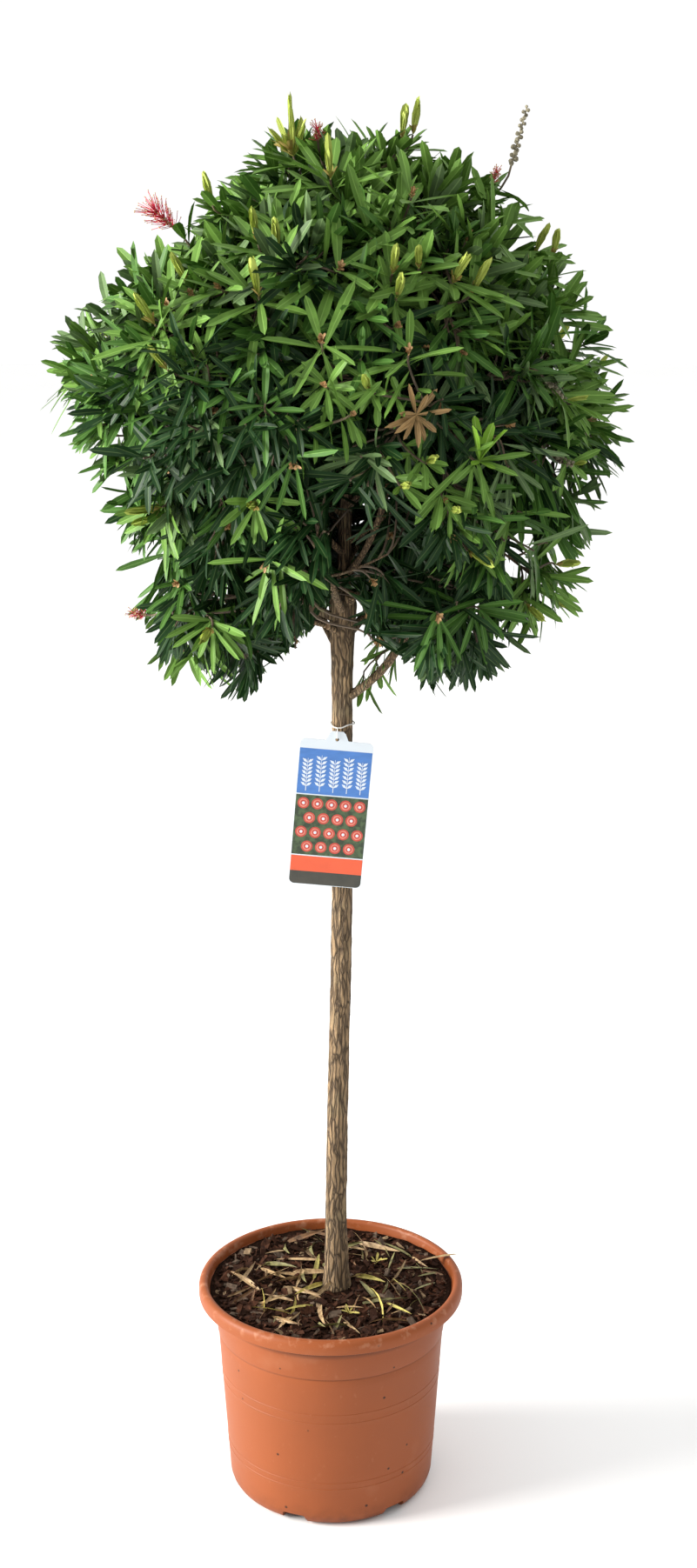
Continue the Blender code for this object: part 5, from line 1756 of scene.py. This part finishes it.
class BOTTLEBRUSH_OT_label(bpy.types.Operator):
    """Makes the hanging label with its plain printed panels, and the thread that carries it"""

    bl_idname = "bottlebrush.make_label"
    bl_label = "Make label"

    def execute(self, context):
        settings = context.scene.bottlebrush_label
        outline = label_outline()
        count, half = len(outline), LABEL_THICKNESS / 2
        hole = [
            (LABEL_HOLE_RADIUS * math.cos(math.tau * i / 20), LABEL_HOLE_RADIUS * math.sin(math.tau * i / 20))
            for i in range(20)
        ]
        work = bmesh.new()
        rims = []
        for ring in (outline, hole):
            verts = [work.verts.new((x, 0.0, z)) for x, z in ring]
            rims += [work.edges.new((verts[i], verts[(i + 1) % len(verts)])) for i in range(len(verts))]
        bmesh.ops.triangle_fill(work, use_beauty=True, edges=rims)
        for face in work.faces:
            if face.normal.y > 0:
                face.normal_flip()
        made = bmesh.ops.extrude_face_region(work, geom=work.faces[:])
        moved = [item for item in made["geom"] if isinstance(item, bmesh.types.BMVert)]
        bmesh.ops.translate(work, verts=moved, vec=(0, LABEL_THICKNESS, 0))
        bmesh.ops.translate(work, verts=work.verts, vec=(0, -half, 0))
        bmesh.ops.recalc_face_normals(work, faces=work.faces)
        mesh = bpy.data.meshes.new("label_sheet")
        work.to_mesh(mesh)
        work.free()
        mesh.transform(label_place())
        card = Finish("label_sheet", 0.30)
        card.colour(
            card.ramp(card.noise(30.0, 2.0), (0.3, shaded(settings.card, 0.97)), (0.7, settings.card))
        )
        card.bump(card.noise(900.0, 2.0), 0.00003, 0.5)
        show("label_sheet", mesh, [card.material], ["label"])

        prints = Shapes()
        top = LABEL_TOP
        panel(prints, strip(top - 0.0105, top - 0.0605), 1, 0)
        for column in range(5):
            x, foot = (column - 2) * 0.0145, top - 0.0575
            high = 0.036 + 0.004 * (column % 2)
            panel(prints, [(x - 0.0004, foot), (x + 0.0004, foot), (x + 0.0002, foot + high), (x - 0.0002, foot + high)], 2, 1)
            for pair in range(7):
                for side in (-1, 1):
                    z = foot + high * (0.14 + 0.12 * pair)
                    tip = (x + side * 0.0058, z + 0.0046)
                    leaf = [(x, z), (x + side * 0.0038, z + 0.0014), tip, (x + side * 0.0020, z + 0.0038)]
                    panel(prints, leaf if side > 0 else leaf[::-1], 2, 1)
        panel(prints, strip(top - 0.0618, top - 0.1285), 1, 2)
        for row in range(4):
            for column in range(5 - row % 2):
                x = (column - (4 - row % 2) / 2) * 0.0150
                z = top - 0.0710 - 0.0160 * row
                for order, reach in enumerate((0.0062, 0.0046, 0.0032, 0.0016)):
                    ring = [(math.cos(math.tau * i / 24), math.sin(math.tau * i / 24)) for i in range(24)]
                    disc = [(x + reach * cos, z + reach * sin) for cos, sin in ring]
                    panel(prints, disc, 2 + order, (3, 4, 3, 1)[order])
        panel(prints, strip(top - 0.1298, top - 0.1470), 1, 5)
        panel(prints, strip(top - 0.1470, top - 0.1616), 1, 6)
        mesh = prints.mesh("label_print")
        mesh.transform(label_place())
        sky, pale, band = settings.sky, (0.62, 0.68, 0.74), settings.band
        finishes = [
            print_finish("print_blue", (0.3, shaded(sky, 0.8)), (0.7, sky), stretch=(1, 1, 3)),
            print_finish("print_pale", (0.3, shaded(pale, 0.95)), (0.7, pale)),
            print_finish("print_leaf", (0.4, (0.02, 0.035, 0.015)), (0.6, (0.06, 0.10, 0.04)), scale=170.0),
            print_finish("print_red", (0.3, (0.42, 0.035, 0.025)), (0.7, (0.54, 0.07, 0.045)), scale=200.0),
            print_finish("print_coral", (0.3, (0.58, 0.16, 0.11)), (0.7, (0.64, 0.26, 0.19)), scale=200.0),
            print_finish("print_band", (0.3, band), (0.7, shaded(band, 1.1))),
            print_finish("print_dark", (0.3, (0.030, 0.030, 0.022)), (0.7, (0.05, 0.046, 0.034))),
        ]
        show("label_print", mesh, finishes)

        middle = Vector((LABEL_HOLE[0], label_middle(), 0.0))
        middle.z = LABEL_HOLE[1] + LABEL_HOLE_RADIUS - 0.0003 - LINK_THREAD + LINK_HALF_HEIGHT
        link = []
        for i in range(24):
            turn = math.tau * (i + 0.5) / 24
            depth = math.copysign(math.sqrt(abs(math.cos(turn))), math.cos(turn)) * LINK_HALF_DEPTH
            height = math.copysign(math.sqrt(abs(math.sin(turn))), math.sin(turn)) * LINK_HALF_HEIGHT
            link.append(middle + Vector((0, depth, height)))
        level = middle.z + LINK_HALF_HEIGHT
        centre = trunk_axis(level)
        snug = trunk_radius(level) * (1 + TRUNK_LOBING) + 0.0003 + BAND_THREAD
        pull_to = Vector((middle.x - centre.x, middle.y - centre.y, 0))
        toward = math.atan2(pull_to.y, pull_to.x)
        band = []
        for i in range(64):
            turn = toward + math.tau * i / 64
            near = max(0.0, math.cos(turn - toward)) ** 6
            reach = snug + (pull_to.length - snug) * near
            rise = Vector((0, 0, 0.0024 * (1 - near) - 0.0008 * math.cos(2 * turn)))
            band.append(centre + reach * Vector((math.cos(turn), math.sin(turn), 0)) + rise * (1 - near))
        threads = Shapes()
        for loop, radius in ((band, BAND_THREAD), (link, LINK_THREAD)):
            hub = sum(loop, Vector()) / len(loop)
            sides = 8
            corners, faces = [], []
            for i, point in enumerate(loop):
                along = (loop[(i + 1) % len(loop)] - loop[i - 1]).normalized()
                first = (point - hub) - along * (point - hub).dot(along)
                first.normalize()
                second = along.cross(first)
                for k in range(sides):
                    turn = math.tau * k / sides
                    corners.append(point + radius * (math.cos(turn) * first + math.sin(turn) * second))
            for i in range(len(loop)):
                for k in range(sides):
                    here, there = i * sides + k, i * sides + (k + 1) % sides
                    next_ring = ((i + 1) % len(loop)) * sides
                    faces.append((here, there, next_ring + (k + 1) % sides, next_ring + k))
            threads.add(corners, faces)
        thread = Finish("white_thread", 0.7)
        twist = thread.noise(1400.0, 2.0, (1, 1, 0.4))
        thread.colour(thread.ramp(twist, (0.3, (0.55, 0.54, 0.50)), (0.7, (0.84, 0.83, 0.80))))
        thread.bump(twist, 0.0003)
        show("thread_loop", threads.mesh("thread_loop", 60), [thread.material], ["label_band"])
        return {"FINISHED"}


# Stage


def area_light(name, place, target, size, power, tint=(1, 1, 1)):
    """A soft light that points at a target."""
    data = bpy.data.lights.new(name, "AREA")
    data.shape, data.size, data.energy, data.color = "DISK", size, power, tint
    lamp = bpy.data.objects.new(name, data)
    bpy.context.scene.collection.objects.link(lamp)
    lamp.location = place
    lamp.rotation_euler = (Vector(target) - Vector(place)).to_track_quat("-Z", "Y").to_euler()


def studio_world(settings):
    """Soft light from all round: full from the backdrop and the ceiling, less from the front."""
    world = bpy.data.worlds.new("studio")
    world.use_nodes = True
    nodes, links = world.node_tree.nodes, world.node_tree.links
    heading = nodes.new("ShaderNodeSeparateXYZ")
    links.new(nodes.new("ShaderNodeTexCoord").outputs["Generated"], heading.inputs["Vector"])
    strengths = []
    for axis, low, high, strength in (("Y", -0.15, 0.70, settings.backdrop), ("Z", 0.25, 0.85, settings.ceiling)):
        fade = nodes.new("ShaderNodeMapRange")
        fade.interpolation_type = "SMOOTHSTEP"
        links.new(heading.outputs[axis], fade.inputs["Value"])
        for socket, value in (("From Min", low), ("From Max", high), ("To Min", settings.ambient), ("To Max", strength)):
            fade.inputs[socket].default_value = value
        strengths.append(fade.outputs["Result"])
    brighter = nodes.new("ShaderNodeMath")
    brighter.operation = "MAXIMUM"
    for socket, strength in enumerate(strengths):
        links.new(strength, brighter.inputs[socket])
    links.new(brighter.outputs["Value"], nodes["Background"].inputs["Strength"])
    nodes["Background"].inputs["Color"].default_value = (1.0, 1.0, 1.0, 1.0)
    return world


class BOTTLEBRUSH_OT_stage(bpy.types.Operator):
    """Makes the pale floor, the soft studio light and the camera"""

    bl_idname = "bottlebrush.make_stage"
    bl_label = "Make stage"

    def execute(self, context):
        settings = context.scene.bottlebrush_stage
        points, faces = lathe([(0.0, 0.0), (2.0, 0.0), (14.0, 0.0)], 96)
        mesh = bpy.data.meshes.new("floor")
        mesh.from_pydata(points, [], faces)
        welded(mesh)
        if mesh.polygons[0].normal.z < 0:
            mesh.flip_normals()
        floor = bpy.data.objects.new("floor", mesh)
        finish = Finish("studio_floor", 0.8)
        finish.colour(
            finish.ramp(finish.noise(1.5, 2.0), (0.3, shaded(settings.floor, 0.985)), (0.7, settings.floor))
        )
        mesh.materials.append(finish.material)
        floor.location.z = -0.0003
        context.scene.collection.objects.link(floor)
        context.scene.world = studio_world(settings)
        context.scene.view_settings.view_transform = "Standard"
        area_light("key", (-4.5, -0.9, 2.0), (0, 0, 0.8), 2.6, settings.key, (1.0, 0.98, 0.95))
        data = bpy.data.cameras.new("camera")
        data.sensor_width = 36.0
        data.lens = 36.0 * 2600 / 1803
        camera = bpy.data.objects.new("camera", data)
        context.scene.collection.objects.link(camera)
        camera.location = (0.0203, -settings.camera_distance, settings.camera_height)
        camera.rotation_euler = (math.radians(90 - 15.8), 0, 0)
        context.scene.camera = camera
        return {"FINISHED"}


class BOTTLEBRUSH_PT_panel(bpy.types.Panel):
    """Lists the plant's pieces in the order in which they are made"""

    bl_idname = "BOTTLEBRUSH_PT_panel"
    bl_label = "Potted Bottlebrush"
    bl_space_type = "VIEW_3D"
    bl_region_type = "UI"
    bl_category = "Bottlebrush"

    def draw(self, context):
        for operator in OPERATORS:
            self.layout.operator(operator.bl_idname)
        for name, group in SETTINGS.items():
            box = self.layout.box()
            for prop in group.__annotations__:
                box.prop(getattr(context.scene, name), prop)


SETTINGS = {
    "bottlebrush_pot": PotSettings,
    "bottlebrush_mix": MixSettings,
    "bottlebrush_bark": BarkSettings,
    "bottlebrush_crown": CrownSettings,
    "bottlebrush_shoots": ShootSettings,
    "bottlebrush_label": LabelSettings,
    "bottlebrush_stage": StageSettings,
}
OPERATORS = (
    BOTTLEBRUSH_OT_pot,
    BOTTLEBRUSH_OT_mix,
    BOTTLEBRUSH_OT_trunk,
    BOTTLEBRUSH_OT_boughs,
    BOTTLEBRUSH_OT_twigs,
    BOTTLEBRUSH_OT_leaves,
    BOTTLEBRUSH_OT_young_shoots,
    BOTTLEBRUSH_OT_blossom,
    BOTTLEBRUSH_OT_label,
    BOTTLEBRUSH_OT_stage,
)


def register():
    for group in SETTINGS.values():
        bpy.utils.register_class(group)
    for name, group in SETTINGS.items():
        setattr(bpy.types.Scene, name, PointerProperty(type=group))
    for operator in OPERATORS:
        bpy.utils.register_class(operator)
    bpy.utils.register_class(BOTTLEBRUSH_PT_panel)


def unregister():
    bpy.utils.unregister_class(BOTTLEBRUSH_PT_panel)
    for operator in reversed(OPERATORS):
        bpy.utils.unregister_class(operator)
    for name in SETTINGS:
        delattr(bpy.types.Scene, name)
    for group in SETTINGS.values():
        bpy.utils.unregister_class(group)


def main():
    register()
    bpy.ops.bottlebrush.make_pot()
    bpy.ops.bottlebrush.make_mix()
    bpy.ops.bottlebrush.make_trunk()
    bpy.ops.bottlebrush.make_boughs()
    bpy.ops.bottlebrush.make_twigs()
    bpy.ops.bottlebrush.make_leaves()
    bpy.ops.bottlebrush.make_young_shoots()
    bpy.ops.bottlebrush.make_blossom()
    bpy.ops.bottlebrush.make_label()
    bpy.ops.bottlebrush.make_stage()


if __name__ == "__main__":
    main()
